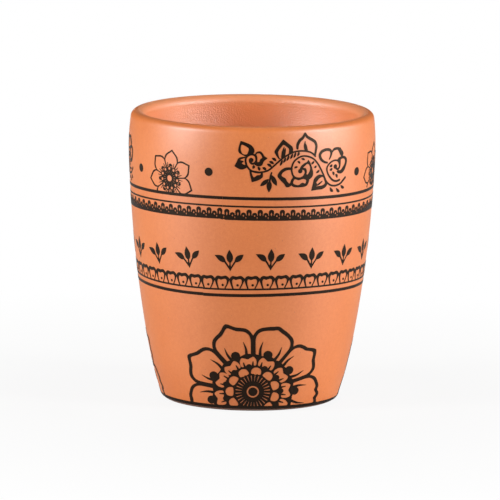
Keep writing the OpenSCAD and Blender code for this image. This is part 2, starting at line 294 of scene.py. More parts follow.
@dataclass(frozen=True)
class MattStoneware:
    """Red stoneware, cast, sponged on the wheel and fired under a thin matt slip.

    The eye gets a warm orange with a dry sandy grain, faint rings from the sponge and a few dark grits. The
    flux in the slip leaves a thin glassy skin, which gives a wide soft sheen. The ring that stood in the kiln
    stays bare and browner, and its colour is darkened further as painted shade where the foot meets the
    floor.
    Real slip has a finer grain: here it is as coarse as it needs to be to show.
    """

    name: str = "stoneware_cast_matt_slip"
    clay: str = "#C96822"
    pale: str = "#D37430"
    grit: str = "#8A4A2A"
    # bare: brown of the unglazed foot ring, made darker still as painted shade at the foot
    bare: str = "#86523A"
    roughness: float = 0.5
    ior: float = 1.6
    skin: float = 0.85
    skin_roughness: float = 0.5
    skin_ior: float = 1.6
    grain_mm: float = 0.28
    sand_mm: float = 0.8
    ring_mm: float = 0.45
    ring_length_mm: float = 9.0
    ring_share: float = 0.3
    cloud_mm: float = 16.0
    mottle: tuple[float, float] = (1.15, 1.85)
    grit_mm: float = 2.4
    grit_edge: tuple[float, float] = (0.06, 0.03)
    grit_share: float = 0.6
    bare_and_shade_z: float = 0.9
    bare_and_shade_fade: float = 0.2
    relief_mm: float = 0.02
    relief_share: float = 0.6

    def material(self) -> bpy.types.Material:
        """Builds the material and returns it."""
        material, tree = new_tree(self.name)
        place = add_node(tree, "ShaderNodeTexCoord", {}).outputs["Object"]
        squeeze = self.ring_mm / self.ring_length_mm
        along = add_node(tree, "ShaderNodeMapping", {
            "Vector": place, "Scale": (squeeze, squeeze, 1.0),
        }).outputs[0]
        grain, sand, rings, cloud = (
            add_node(tree, "ShaderNodeTexNoise", {
                "Vector": spot, "Scale": per_mm(size), "Detail": detail,
            }).outputs[0]
            for spot, size, detail in (
                (place, self.grain_mm, 2.0), (place, self.sand_mm, 3.0),
                (along, self.ring_mm, 2.0), (place, self.cloud_mm, 2.0),
            )
        )
        spots = add_node(tree, "ShaderNodeTexVoronoi", {
            "Vector": place, "Scale": per_mm(self.grit_mm),
        }).outputs["Distance"]
        height = add_node(tree, "ShaderNodeSeparateXYZ", {0: place}).outputs["Z"]
        blend = grain
        for noise in (sand, cloud):
            blend = add_node(tree, "ShaderNodeMath", {0: blend, 1: noise}, operation="ADD").outputs[0]
        foot = ((self.bare_and_shade_z + self.bare_and_shade_fade) * MM, self.bare_and_shade_z * MM)
        colour = linear(self.clay)
        for value, (none, full), share, over in (
            (blend, self.mottle, 1.0, self.pale),
            (spots, self.grit_edge, self.grit_share, self.grit),
            # the band at the foot takes the bare colour: real bare clay, darkened as painted shade
            (height, foot, 1.0, self.bare),
        ):
            cover = add_node(tree, "ShaderNodeMapRange", {
                "Value": value, "From Min": none, "From Max": full, "To Max": share,
            }).outputs[0]
            colour = add_node(tree, "ShaderNodeMix", {
                0: cover, 6: colour, 7: linear(over),
            }, data_type="RGBA").outputs[2]
        relief = add_node(tree, "ShaderNodeMath", {
            0: rings, 1: self.ring_share, 2: grain,
        }, operation="MULTIPLY_ADD").outputs[0]
        bump = add_node(tree, "ShaderNodeBump", {
            "Height": relief, "Strength": self.relief_share, "Distance": self.relief_mm * MM,
        }).outputs[0]
        shader = add_node(tree, "ShaderNodeBsdfPrincipled", {
            "Base Color": colour, "Roughness": self.roughness, "IOR": self.ior, "Normal": bump,
            "Coat Weight": self.skin, "Coat Roughness": self.skin_roughness, "Coat IOR": self.skin_ior,
            "Coat Normal": bump,
        }).outputs[0]
        add_node(tree, "ShaderNodeOutputMaterial", {"Surface": shader})
        return material


@dataclass(frozen=True)
class SatinGlaze:
    """Satin glaze on the same clay, poured into the cup and fired.

    The eye gets a brighter orange under a pebbled glassy skin, whose small bumps break the highlights into a
    frosty sparkle. The glaze runs thin towards the rim's crest, so that it is duller there, and the crest's
    top gets a paler colour as painted light.
    """

    name: str = "glaze_poured_satin"
    body: str = "#E1782E"
    pale: str = "#E68035"
    # crest: paler tone painted on the rim's top as the light that it catches
    crest: str = "#D8834E"
    roughness: float = 0.5
    ior: float = 1.9
    skin: float = 1.0
    skin_roughness: float = 0.45
    skin_ior: float = 2.3
    pebble_mm: float = 0.34
    cloud_mm: float = 9.0
    relief_mm: float = 0.18
    relief_share: float = 0.6
    thin_and_painted_light_z: tuple[float, float] = (67.6, 69.6)
    thin_skin: float = 0.1
    thin_roughness: float = 0.6

    def material(self) -> bpy.types.Material:
        """Builds the material and returns it."""
        material, tree = new_tree(self.name)
        place = add_node(tree, "ShaderNodeTexCoord", {}).outputs["Object"]
        pebble, cloud = (
            add_node(tree, "ShaderNodeTexNoise", {
                "Vector": place, "Scale": per_mm(size), "Detail": detail,
            }).outputs[0]
            for size, detail in ((self.pebble_mm, 2.0), (self.cloud_mm, 3.0))
        )
        height = add_node(tree, "ShaderNodeSeparateXYZ", {0: place}).outputs["Z"]
        low, high = (z * MM for z in self.thin_and_painted_light_z)
        skin, rough, thin = (
            add_node(tree, "ShaderNodeMapRange", {
                "Value": height, "From Min": low, "From Max": high, "To Min": inside, "To Max": at_crest,
            }).outputs[0]
            for inside, at_crest in (
                (self.skin, self.thin_skin), (self.roughness, self.thin_roughness), (0.0, 1.0),
            )
        )
        colour = linear(self.body)
        # pale is random mottle; the crest mix paints light onto the rim's top
        for cover, over in ((cloud, self.pale), (thin, self.crest)):
            colour = add_node(tree, "ShaderNodeMix", {
                0: cover, 6: colour, 7: linear(over),
            }, data_type="RGBA").outputs[2]
        bump = add_node(tree, "ShaderNodeBump", {
            "Height": pebble, "Strength": self.relief_share, "Distance": self.relief_mm * MM,
        }).outputs[0]
        shader = add_node(tree, "ShaderNodeBsdfPrincipled", {
            "Base Color": colour, "Roughness": rough, "IOR": self.ior, "Normal": bump,
            "Coat Weight": skin, "Coat Roughness": self.skin_roughness, "Coat IOR": self.skin_ior,
            "Coat Normal": bump,
        }).outputs[0]
        add_node(tree, "ShaderNodeOutputMaterial", {"Surface": shader})
        return material


@dataclass(frozen=True)
class FiredInk:
    """Black ceramic transfer ink, screen printed and fired onto the slip.

    The eye gets a warm near-black that follows the grain of the clay, a little uneven where the screen left
    less ink, with a sheen that turns it grey towards the sides. The iron in the ink warms that sheen.
    """

    name: str = "ink_transfer_fired"
    ink: str = "#0B0604"
    thin: str = "#170E0A"
    sheen: str = "#FFDCBC"
    roughness: float = 0.42
    ior: float = 1.38
    grain_mm: float = 0.28
    cover_mm: float = 1.2
    relief_mm: float = 0.015
    relief_share: float = 0.6

    def material(self) -> bpy.types.Material:
        """Builds the material and returns it."""
        material, tree = new_tree(self.name)
        place = add_node(tree, "ShaderNodeTexCoord", {}).outputs["Object"]
        grain, cover = (
            add_node(tree, "ShaderNodeTexNoise", {
                "Vector": place, "Scale": per_mm(size), "Detail": detail,
            }).outputs[0]
            for size, detail in ((self.grain_mm, 2.0), (self.cover_mm, 3.0))
        )
        colour = add_node(tree, "ShaderNodeMix", {
            0: cover, 6: linear(self.ink), 7: linear(self.thin),
        }, data_type="RGBA").outputs[2]
        bump = add_node(tree, "ShaderNodeBump", {
            "Height": grain, "Strength": self.relief_share, "Distance": self.relief_mm * MM,
        }).outputs[0]
        shader = add_node(tree, "ShaderNodeBsdfPrincipled", {
            "Base Color": colour, "Roughness": self.roughness, "IOR": self.ior, "Normal": bump,
            "Specular Tint": linear(self.sheen),
        }).outputs[0]
        add_node(tree, "ShaderNodeOutputMaterial", {"Surface": shader})
        return material


@dataclass(frozen=True)
class WallLine:
    """Section of the cup in millimetres.

    Three outer arcs share their tangents, with a heel under them and a rolled rim on top.
    """

    cup_h: float
    belly_r: float
    belly_z: float = 62.4
    shoulder_arc: float = 60.0
    shoulder_lean: float = 1.8
    wall_arc: float = 310.0
    foot_lean: float = 10.0
    foot_arc: float = 120.0
    wall_t: float = 3.4
    floor_t: float = 3.8
    corner_r: float = 8.0
    heel_r: float = 2.0
    foot_w: float = 4.0
    foot_hollow: float = 1.2
    glaze_t: float = 0.3
    round_steps: int = 16
    short_steps: int = 14
    long_steps: int = 32

    @property
    def shoulder_c(self) -> Point:
        """Centre of the shoulder arc."""
        return self.belly_r - self.shoulder_arc, self.belly_z

    @property
    def wall_c(self) -> Point:
        """Centre of the long arc of the wall."""
        by = polar(self.shoulder_arc - self.wall_arc, -self.shoulder_lean)
        return self.shoulder_c[0] + by[0], self.shoulder_c[1] + by[1]

    @property
    def foot_c(self) -> Point:
        """Centre of the arc above the foot."""
        by = polar(self.wall_arc - self.foot_arc, -self.foot_lean)
        return self.wall_c[0] + by[0], self.wall_c[1] + by[1]

    @property
    def rim_c(self) -> Point:
        """Centre of the rolled rim."""
        z = self.cup_h - self.wall_t / 2
        reach = self.shoulder_arc - self.wall_t / 2
        return self.shoulder_c[0] + math.sqrt(reach ** 2 - (z - self.belly_z) ** 2), z

    @property
    def rim_tilt(self) -> float:
        """Angle at which the shoulder arc meets the rim, in degrees."""
        return math.degrees(math.asin((self.rim_c[1] - self.belly_z) / (self.shoulder_arc - self.wall_t / 2)))

    @property
    def floor_z(self) -> float:
        """Height of the glazed floor."""
        return self.foot_hollow + self.floor_t

    def corner_c(self, grow: float, radius: float, z: float) -> Point:
        """Centre of a circle that touches the grown wall from inside and a level from above."""
        reach = self.foot_arc + grow - radius
        return self.foot_c[0] + math.sqrt(reach ** 2 - (z + radius - self.foot_c[1]) ** 2), z + radius

    def rise(self, grow: float, corner: Point, radius: float) -> Outline:
        """Line from a rounded corner up the wall to the rim.

        Args:
            grow: How far outside the outer wall the line runs.
            corner: Centre of the corner's arc.
            radius: Radius of the corner's arc.

        Returns:
            Points from the corner's lowest point to the rim.
        """
        foot_c = self.foot_c
        touch = math.degrees(math.atan2(corner[1] - foot_c[1], corner[0] - foot_c[0]))
        return [
            *arc(corner, radius, -90.0, touch, self.round_steps),
            *arc(foot_c, self.foot_arc + grow, touch, -self.foot_lean, self.short_steps)[1:],
            *arc(self.wall_c, self.wall_arc + grow, -self.foot_lean, -self.shoulder_lean,
                 self.long_steps)[1:],
            *arc(self.shoulder_c, self.shoulder_arc + grow, -self.shoulder_lean, self.rim_tilt,
                 self.short_steps)[1:],
        ]

    def lining(self, under: float) -> Outline:
        """Line from the rim's crest down the inside to the middle of the floor.

        Args:
            under: How far the line runs under the inside's surface.

        Returns:
            Points from the crest down.
        """
        corner = self.corner_c(-self.wall_t, self.corner_r, self.floor_z)
        crest = arc(self.rim_c, self.wall_t / 2 - under, 90.0, self.rim_tilt + 180.0, self.round_steps)
        down = self.rise(under - self.wall_t, corner, self.corner_r + under)[::-1]
        return [*crest, *down[1:], (0.0, self.floor_z - under)]

    def surface(self, z: float) -> tuple[float, float, float]:
        """Radius and outward normal of the outer wall at a height.

        Args:
            z: Height in millimetres.

        Returns:
            Radius, and the normal's parts along the radius and the height.
        """
        heel = self.corner_c(0.0, self.heel_r, 0.0)
        foot_c, wall_c, shoulder_c = self.foot_c, self.wall_c, self.shoulder_c
        touch = math.atan2(heel[1] - foot_c[1], heel[0] - foot_c[0])
        if z < foot_c[1] + self.foot_arc * math.sin(touch):
            centre, radius = heel, self.heel_r
        elif z < wall_c[1] - self.wall_arc * math.sin(math.radians(self.foot_lean)):
            centre, radius = foot_c, self.foot_arc
        elif z < shoulder_c[1] - self.shoulder_arc * math.sin(math.radians(self.shoulder_lean)):
            centre, radius = wall_c, self.wall_arc
        else:
            centre, radius = shoulder_c, self.shoulder_arc
        up = (z - centre[1]) / radius
        out = math.sqrt(1 - up * up)
        return centre[0] + radius * out, out, up


def eased(before: Point, corner: Point, after: Point, reach: float, steps: int = 5) -> Outline:
    """Rounds off a corner.

    Args:
        before: Point before the corner.
        corner: The corner.
        after: Point after it.
        reach: How far from the corner the rounding starts and ends.
        steps: Number of steps round it.

    Returns:
        Points that take the corner's place.
    """
    start, end = (
        tuple(c + (q - c) * reach / math.hypot(p[0] - corner[0], p[1] - corner[1]) for q, c in zip(p, corner))
        for p in (before, after)
    )
    return [
        tuple((1 - t) ** 2 * a + 2 * t * (1 - t) * c + t * t * b for a, c, b in zip(start, corner, end))
        for t in (i / steps for i in range(steps + 1))
    ]


def new_object(
    name: str, verts: Sequence[Sequence[float]], faces: Sequence[Sequence[int]],
) -> bpy.types.Object:
    """Makes a mesh object in the scene.

    Args:
        name: Name of the object and its mesh.
        verts: Points in metres.
        faces: Indices of each face's points.

    Returns:
        The object.
    """
    mesh = bpy.data.meshes.new(name)
    mesh.from_pydata(verts, [], faces)
    mesh.update()
    piece = bpy.data.objects.new(name, mesh)
    bpy.context.scene.collection.objects.link(piece)
    return piece


def dress(piece: bpy.types.Object, finish: bpy.types.Material, node: str) -> bpy.types.Object:
    """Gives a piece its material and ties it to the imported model.

    Args:
        piece: The piece.
        finish: Its material.
        node: CAD node that it stands for.

    Returns:
        The piece.
    """
    piece.data.materials.append(finish)
    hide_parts(node)
    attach(piece, "root")
    return piece


def lathe(
    name: str, section: Outline, closed: bool, segments: int = 288, sharp_deg: float = 35.0,
) -> bpy.types.Object:
    """Turns a section round the axis of the cup.

    Args:
        name: Name of the piece.
        section: Points of radius and height in millimetres, in order, with the solid on their left.
        closed: Whether the last point joins the first.
        segments: Number of steps round the axis.
        sharp_deg: Angle in degrees from which an edge is sharp.

    Returns:
        The piece, shaded smooth but for its sharp edges.
    """
    verts: list[tuple[float, float, float]] = []
    rows: list[list[int]] = []
    turns = [math.tau * i / segments for i in range(segments)]
    for r, z in section:
        first = len(verts)
        if r < TINY:
            verts.append((0.0, 0.0, z * MM))
            rows.append([first] * segments)
        else:
            verts += [(r * MM * math.cos(a), r * MM * math.sin(a), z * MM) for a in turns]
            rows.append(list(range(first, first + segments)))
    faces: list[list[int]] = []
    for low, high in zip(rows, rows[1:] + rows[:1] if closed else rows[1:]):
        for i in range(segments):
            j = (i + 1) % segments
            corners = [low[i], low[j], high[j], high[i]]
            face = [v for k, v in enumerate(corners) if v != corners[k - 1]]
            if len(face) > 2:
                faces.append(face)
    piece = new_object(name, verts, faces)
    piece.data.shade_smooth()
    piece.data.set_sharp_from_angle(angle=math.radians(sharp_deg))
    return piece


@dataclass
class ClayBody:
    """The fired clay body: foot ring with its hollow, heel, wall and rolled rim."""

    wall: WallLine
    finish: MattStoneware = field(default_factory=MattStoneware)
    foot_ease: float = 0.5

    def build(self) -> bpy.types.Object:
        """Lathes the body, dresses it and returns it."""
        wall = self.wall
        heel = wall.corner_c(0.0, wall.heel_r, 0.0)
        ring_r = heel[0] - wall.foot_w
        middle = (0.0, wall.foot_hollow)
        roof = (ring_r - wall.foot_hollow, wall.foot_hollow)
        inner = (ring_r, 0.0)
        section = [
            middle,
            *eased(middle, roof, inner, self.foot_ease),
            *eased(roof, inner, heel, self.foot_ease),
            *wall.rise(0.0, heel, wall.heel_r),
            *arc(wall.rim_c, wall.wall_t / 2, wall.rim_tilt, 90.0, wall.round_steps)[1:],
            *wall.lining(wall.glaze_t),
        ]
        piece = lathe("clay_body", section, closed=False)
        return dress(piece, self.finish.material(), "cup_body")


@dataclass
class SatinLining:
    """The glaze inside the cup, from the rim's crest to the floor."""

    wall: WallLine
    finish: SatinGlaze = field(default_factory=SatinGlaze)

    def build(self) -> bpy.types.Object:
        """Lathes the lining, dresses it and returns it."""
        section = [*self.wall.lining(0.0), *self.wall.lining(self.wall.glaze_t)[::-1]]
        piece = lathe("satin_lining", section, closed=True)
        return dress(piece, self.finish.material(), "inner_glaze")


class Mark(Enum):
    """What a shape of a drawing leaves on the clay."""

    INK = "ink"
    BARE = "bare"


@dataclass
class Shape:
    """One filled outline of a drawing, with the corners of the box round it."""

    outline: Outline
    mark: Mark
    low: Point = field(init=False)
    high: Point = field(init=False)

    def __post_init__(self) -> None:
        """Measures the box round the outline."""
        xs, ys = zip(*self.outline)
        self.low, self.high = (min(xs), min(ys)), (max(xs), max(ys))

    def holds(self, x: float, y: float) -> bool:
        """Tells whether the outline winds round a point.

        Args:
            x: The point's place across the drawing.
            y: Its place up the drawing.

        Returns:
            True where it does.
        """
        if not (self.low[0] < x < self.high[0] and self.low[1] < y < self.high[1]):
            return False
        turns = 0
        for (ax, ay), (bx, by) in zip(self.outline, self.outline[1:] + self.outline[:1]):
            if (ay <= y) != (by <= y):
                left = (bx - ax) * (y - ay) > (x - ax) * (by - ay)
                if left == (by > ay):
                    turns += 1 if left else -1
        return turns != 0


@dataclass
class Stencil:
    """A flat drawing in millimetres, in which each shape covers what was drawn before it.

    It is cut no coarser than the grid, so that it follows the curve of the wall. The grid's points start off
    the outlines by shares of a step. The ink spreads a little past the edges that were drawn.
    """

    grid: float = 0.9
    spread: float = 0.0
    offset: Point = (0.31, 0.37)
    weld: float = 1e-4
    shapes: list[Shape] = field(default_factory=list)

    def ink(self, *outlines: Outline) -> None:
        """Fills outlines with ink."""
        self.shapes += [Shape(self.cut(outline, self.spread), Mark.INK) for outline in outlines]

    def bare(self, *outlines: Outline) -> None:
        """Clears outlines down to the clay."""
        self.shapes += [Shape(self.cut(outline, -self.spread), Mark.BARE) for outline in outlines]

    def trim(self, floor: float, reach: float) -> None:
        """Clears all that lies under a height, as far as the drawing reaches."""
        self.bare([(-reach, -reach), (reach, -reach), (reach, floor), (-reach, floor)])

    def cut(self, outline: Outline, by: float) -> Outline:
        """Outline as it comes out of the press, with sides that are short enough."""
        return divided(grown(outline, by) if by else outline, self.grid)

    def inked(self, x: float, y: float) -> bool:
        """Tells whether the topmost shape at a point is ink."""
        top = next((shape for shape in reversed(self.shapes) if shape.holds(x, y)), None)
        return top is not None and top.mark is Mark.INK

    def cells(self) -> tuple[list[Point], list[list[int]]]:
        """Cuts the drawing into triangles.

        Returns:
            The points, and the triangles that hold ink, all turning the same way.
        """
        points: list[Point] = []
        sides: list[tuple[int, int]] = []
        for shape in self.shapes:
            first, n = len(points), len(shape.outline)
            points += shape.outline
            sides += [(first + i, first + (i + 1) % n) for i in range(n)]
        xs, ys = zip(*points)
        left, low = min(xs), min(ys)
        for row in range(int((max(ys) - low) / self.grid)):
            for col in range(int((max(xs) - left) / self.grid)):
                across = col + self.offset[0] + 0.5 * (row % 2)
                points.append((left + across * self.grid, low + (row + self.offset[1]) * self.grid))
        spots, _, cells = delaunay_2d_cdt([Vector(p) for p in points], sides, [], 0, self.weld, False)[:3]
        middles = [sum((spots[v] for v in cell), Vector((0.0, 0.0))) / 3 for cell in cells]
        kept = [cell for cell, middle in zip(cells, middles) if self.inked(*middle)]
        used = {v: i for i, v in enumerate(sorted({v for cell in kept for v in cell}))}
        return [tuple(spots[v]) for v in used], [[used[v] for v in cell] for cell in kept]


def level(angle: float) -> float:
    """Rise of a print that was laid on level, whatever the angle."""
    return 0.0


@dataclass(frozen=True)
class Place:
    """Where a drawing stands: degrees from the front, millimetres above the ground, and degrees of tilt."""

    angle: float
    height: float
    tilt: float = 0.0


@dataclass
class PrintRow:
    """One group of the print: a drawing that is wrapped onto the wall at each of its places.

    With a girth, the drawing is laid out along a ring of that radius. Without one, each point goes by the
    radius of the wall at its own height, so that a motif keeps its shape.
    """

    node: str
    stencil: Stencil
    places: list[Place]
    girth: float | None = None
    drift: Callable[[float], float] = level
    thickness: float = 0.05

    def build(self, wall: WallLine, finish: bpy.types.Material) -> bpy.types.Object:
        """Wraps the drawing onto the wall as thin closed solids and dresses them.

        Args:
            wall: Section of the cup.
            finish: Material of the ink.

        Returns:
            The piece, which stands for the CAD node of the same group.
        """
        points, cells = self.stencil.cells()
        ways = dict.fromkeys((a, b) for face in cells for a, b in zip(face, face[1:] + face[:1]))
        edge = [(a, b) for a, b in ways if (b, a) not in ways]
        n = len(points)
        verts: list[Vector] = []
        faces: list[list[int]] = []
        sharp: set[tuple[int, int]] = set()
        for place in self.places:
            top = len(verts)
            under = top + n
            for lift in (self.thickness, 0.0):
                verts += [self.wrapped(wall, place, p, lift) for p in points]
            faces += [[top + v for v in f] for f in cells]
            faces += [[under + v for v in f[::-1]] for f in cells]
            faces += [[top + b, top + a, under + a, under + b] for a, b in edge]
            sharp |= {(first + min(side), first + max(side)) for side in edge for first in (top, under)}
        piece = new_object(self.node + "_ink", verts, faces)
        piece.data.shade_smooth()
        for line in piece.data.edges:
            if tuple(sorted(line.vertices)) in sharp:
                line.use_edge_sharp = True
        return dress(piece, finish, self.node)

    def wrapped(self, wall: WallLine, place: Place, point: Point, lift: float) -> Vector:
        """Lays a point of the drawing on the wall.

        Args:
            wall: Section of the cup.
            place: Where the drawing stands.
            point: The point, in millimetres.
            lift: How far off the wall it goes, in millimetres.

        Returns:
            The point on the cup, in metres.
        """
        x, y = placed([point], place.tilt)[0]
        girth = self.girth or wall.surface(place.height + y)[0]
        turn = math.radians(place.angle) + x / girth
        z = place.height + y + self.drift(math.degrees(turn))
        r, out, up = wall.surface(z)
        r += lift * out
        return Vector((r * math.sin(turn), -r * math.cos(turn), z + lift * up)) * MM


@dataclass
class Transfer:
    """A printed strip that is laid round the cup and meets itself in a seam.

    It isn't laid on quite level: it waves a little, and it climbs from its start to its end.
    """

    seam: float
    girth: float
    wave: float
    lobes: int
    crest: float
    sink: float
    climb: float = 0.0
    gap: float = 0.02

    @property
    def length(self) -> float:
        """Length of the strip in millimetres."""
        return math.tau * self.girth

    def drift(self, angle: float) -> float:
        """Rise of the strip at an angle in degrees from the front."""
        wave = self.wave * math.cos(math.radians(self.lobes * (angle - self.crest)))
        return self.sink + wave + self.climb * ((angle - self.seam) % 360.0 / 360.0)

    def at(self, angle: float) -> float:
        """How far along the strip an angle lies, in millimetres."""
        return math.radians((angle - self.seam) % 360.0) * self.girth

    def band(self, low: float, high: float, steps: int = 220) -> Outline:
        """Outline of a line printed along the whole strip, between two heights."""
        xs = [self.gap + (self.length - 2 * self.gap) * i / steps for i in range(steps + 1)]
        return [*((x, low) for x in xs), *((x, high) for x in reversed(xs))]

    def row(self, node: str, stencil: Stencil, height: float) -> PrintRow:
        """Group of the print that belongs to this strip."""
        return PrintRow(node, stencil, [Place(self.seam, height)], self.girth, self.drift)


@dataclass(frozen=True)
class Rule:
    """A plain line round the cup at a height, cut finely where the wall bends under it."""

    width: float
    height: float
    grid: float = 4.0

    def row(self, node: str, strip: Transfer) -> PrintRow:
        """Draws the line along its strip.

        Args:
            node: CAD node of the line.
            strip: The strip that it is printed on.

        Returns:
            The line as a group of the print.
        """
        stencil = Stencil(grid=self.grid)
        stencil.ink(strip.band(-self.width / 2, self.width / 2))
        return strip.row(node, stencil, self.height)


@dataclass(frozen=True)
class Eye:
    """A pointed opening: half its width, and the heights of its ends."""

    half_w: float
    low: float
    high: float

    def outline(self, x: float) -> Outline:
        """Outline of the opening at a place along the strip."""
        middle = (self.low + self.high) / 2
        ends = [(x, self.low), (x + self.half_w, middle), (x, self.high), (x - self.half_w, middle)]
        return through(ends, 4, closed=True)


@dataclass
class Lace:
    """Looped border: tall loops with long eyes and small loops with round eyes on a stripe with slots.

    The foot of a loop is a share of its width, and its bow goes from one angle in degrees to another.
    """

    count: int = 69
    first: float = -11.6
    pitch: float = 5.244
    base: float = 0.12
    stripe: float = 1.3
    stripe_steps: int = 276
    tall: float = 2.75
    tall_w: float = 1.2
    tall_eye: Eye = Eye(0.22, 1.14, 2.14)
    small: float = 2.0
    small_w: float = 1.08
    small_eye: Eye = Eye(0.22, 0.95, 1.5)
    slot: Eye = Eye(0.16, 0.44, 1.1)
    slot_back: float = 0.755
    foot_share: float = 0.8
    bow: tuple[float, float] = (-20.0, 200.0)
    bow_steps: int = 12
    grid: float = 4.0
    spread: float = 0.04

    def draw(self, strip: Transfer) -> Stencil:
        """Draws the border.

        Args:
            strip: The strip that it is printed on.

        Returns:
            The drawing.
        """
        stencil = Stencil(grid=self.grid, spread=self.spread)
        eyes: list[Outline] = []
        loops: list[Outline] = []
        for i in range(self.count):
            x = strip.at(self.first + i * self.pitch)
            loops.append(self.loop(x, self.tall_w, self.tall))
            eyes += [self.tall_eye.outline(x), self.slot.outline(x - self.slot_back)]
            x += math.radians(self.pitch / 2) * strip.girth
            if x < strip.length - self.small_w:
                loops.append(self.loop(x, self.small_w, self.small))
                eyes.append(self.small_eye.outline(x))
        stencil.ink(strip.band(self.base, self.stripe, self.stripe_steps), *loops)
        stencil.bare(*eyes)
        return stencil

    def loop(self, x: float, width: float, top: float) -> Outline:
        """Outline of a loop that stands on the stripe."""
        r, foot = width / 2, self.stripe / 2
        bow = arc((x, top - r), r, *self.bow, self.bow_steps)
        return [(x - r * self.foot_share, foot), (x + r * self.foot_share, foot), *bow]


@dataclass
class Scallops:
    """Row of scallops with a dot in each, which stand on the fine rule and touch at their shoulders."""

    count: int = 48
    first: float = -21.55
    pitch: float = 7.516
    dot: float = 0.31
    dot_v: float = 0.97
    grid: float = 4.0

    def draw(self, strip: Transfer) -> Stencil:
        """Draws the row from the rule up.

        Args:
            strip: The strip that it is printed on.

        Returns:
            The drawing.
        """
        outer = through([
            (-1.26, 0.0), (-1.44, 0.5), (-1.7, 1.25), (-1.93, 2.15), (-1.76, 2.85), (-1.15, 3.27),
            (-0.25, 3.12), (0.75, 3.32), (1.38, 2.95), (1.76, 2.4), (1.42, 1.65), (1.14, 0.98),
            (0.8, 0.35), (0.66, 0.0),
        ], 3)
        inner = through([
            (-0.92, 0.0), (-1.05, 0.5), (-1.25, 1.25), (-1.29, 1.98), (-1.0, 2.46), (-0.42, 2.28),
            (0.24, 2.48), (0.76, 2.46), (1.0, 2.1), (1.0, 1.58), (0.81, 1.0), (0.51, 0.4), (0.39, 0.0),
        ], 3)
        stencil = Stencil(grid=self.grid)
        spots = [strip.at(self.first + i * self.pitch) for i in range(self.count)]
        stencil.ink(*(placed(outer, by=(x, 0.0)) for x in spots))
        stencil.bare(*(placed(inner, by=(x, 0.0)) for x in spots))
        stencil.ink(*(disc((x, self.dot_v), self.dot, 10) for x in spots))
        return stencil


@dataclass
class Sprig:
    """Three pointed leaves on stems that meet in a point."""

    stem: float = 0.42
    side_stem: float = 0.357
    middle_stem: float = 0.336

    def draw(self) -> Stencil:
        """Draws the sprig up from the point where its stems meet, and returns the drawing."""
        stencil = Stencil()
        stencil.ink(
            leaf((0.0, 1.85), (0.0, 5.2), 1.58, 0.42),
            leaf((-1.1, 2.15), (-3.75, 3.88), 1.42, 0.4, -0.2),
            leaf((1.15, 2.1), (3.4, 3.95), 1.36, 0.46, 0.05),
            leaf((0.0, -0.12), (-0.06, 1.7), 0.58, 0.5),
            stroke(through([(0.0, 0.2), (0.0, 2.0)]), 0.2, self.middle_stem),
            stroke(through([(0.0, 0.1), (-0.45, 1.0), (-1.3, 2.35)]), 0.16, self.stem, self.stem),
            stroke(through([(0.0, 0.1), (0.45, 1.0), (1.3, 2.25)]), 0.16, self.side_stem, self.side_stem),
        )
        return stencil


def petal(half: Sequence[Point], foot: bool) -> Outline:
    """Outline of a petal along +X.

    Args:
        half: Half its edge, from its tip, as angles in degrees off its middle and radii.
        foot: Whether the outline runs in to the flower's middle.

    Returns:
        The outline.
    """
    right = through([polar(r, -a) for a, r in half])
    left = through([polar(r, a) for a, r in half])
    edge = [*right[::-1], *left[1:]]
    return [*edge, (0.0, 0.0)] if foot else edge


def wreath(outline: Outline, count: int, first: float) -> list[Outline]:
    """Copies of an outline round the origin, the one drawn along +X turned to the first angle."""
    return [placed(outline, first + 360.0 * i / count) for i in range(count)]


def wavy(radius: float, wave: float, count: int, crest: float, steps: int = 180) -> Outline:
    """Round edge with waves.

    Args:
        radius: Its mean radius.
        wave: Height of the waves.
        count: Number of waves.
        crest: Angle of one crest in degrees.
        steps: Number of points.

    Returns:
        The outline.
    """
    turns = [360.0 * i / steps for i in range(steps)]
    return [polar(radius + wave * math.cos(math.radians(count * (a - crest))), a) for a in turns]


@dataclass
class Rosette:
    """Small flower of seven petals, whose foot goes down behind the wide rule."""

    count: int = 7
    first: float = 83.0
    long_tick_turn: float = 9.0
    short_tick_turn: float = 8.0
    bead_ring: float = 3.3
    bead_r: float = 0.36
    lobes: int = 11
    disc_r: float = 2.85
    disc_wave: float = 0.12
    pearl_ring: float = 2.42
    pearl_r: float = 0.33
    core_r: float = 2.02
    core_wave: float = 0.06
    core_waves: int = 22
    rays: int = 18
    eye_r: float = 0.75
    reach: float = 9.0
    top: float = 90.0
    edge_steps: int = 132

    def draw(self, floor: float) -> Stencil:
        """Draws the rosette about its middle.

        Args:
            floor: Height under which it is cut off level.

        Returns:
            The drawing.
        """
        stencil = Stencil()
        half = 180.0 / self.count
        outer = petal([(0.0, 7.15), (8.0, 6.5), (16.0, 6.05), (22.0, 5.55), (half, 4.95)], True)
        inner = petal([
            (0.0, 6.65), (7.5, 6.08), (14.5, 5.66), (20.0, 5.1), (half - 2.2, 4.5), (half - 3.6, 2.8),
        ], False)
        stencil.ink(*wreath(outer, self.count, self.first))
        stencil.bare(*wreath(inner, self.count, self.first))
        for side in (-1, 1):
            long_tick = stroke([(3.0, 0.0), (3.9, side * 0.12)], 0.26, 0.12)
            short_tick = stroke([(2.8, 0.0), (3.5, 0.0)], 0.24, 0.12)
            stencil.ink(*wreath(long_tick, self.count, self.first + half + self.long_tick_turn * side))
            stencil.ink(*wreath(short_tick, self.count, self.first + self.short_tick_turn * side))
        stencil.ink(*wreath(disc((self.bead_ring, 0.0), self.bead_r, 14), self.count, self.first))
        stencil.ink(wavy(self.disc_r, self.disc_wave, self.lobes, self.top, self.edge_steps))
        stencil.bare(*wreath(disc((self.pearl_ring, 0.0), self.pearl_r, 14), self.lobes, self.top))
        stencil.ink(wavy(self.core_r, self.core_wave, self.core_waves, self.top, self.edge_steps))
        stencil.bare(*wreath(stroke([(1.25, 0.0), (1.75, 0.0)], 0.05, 0.1), self.rays, self.top))
        stencil.bare(disc((0.0, 0.0), self.eye_r, 28))
        stencil.trim(floor, self.reach)
        return stencil


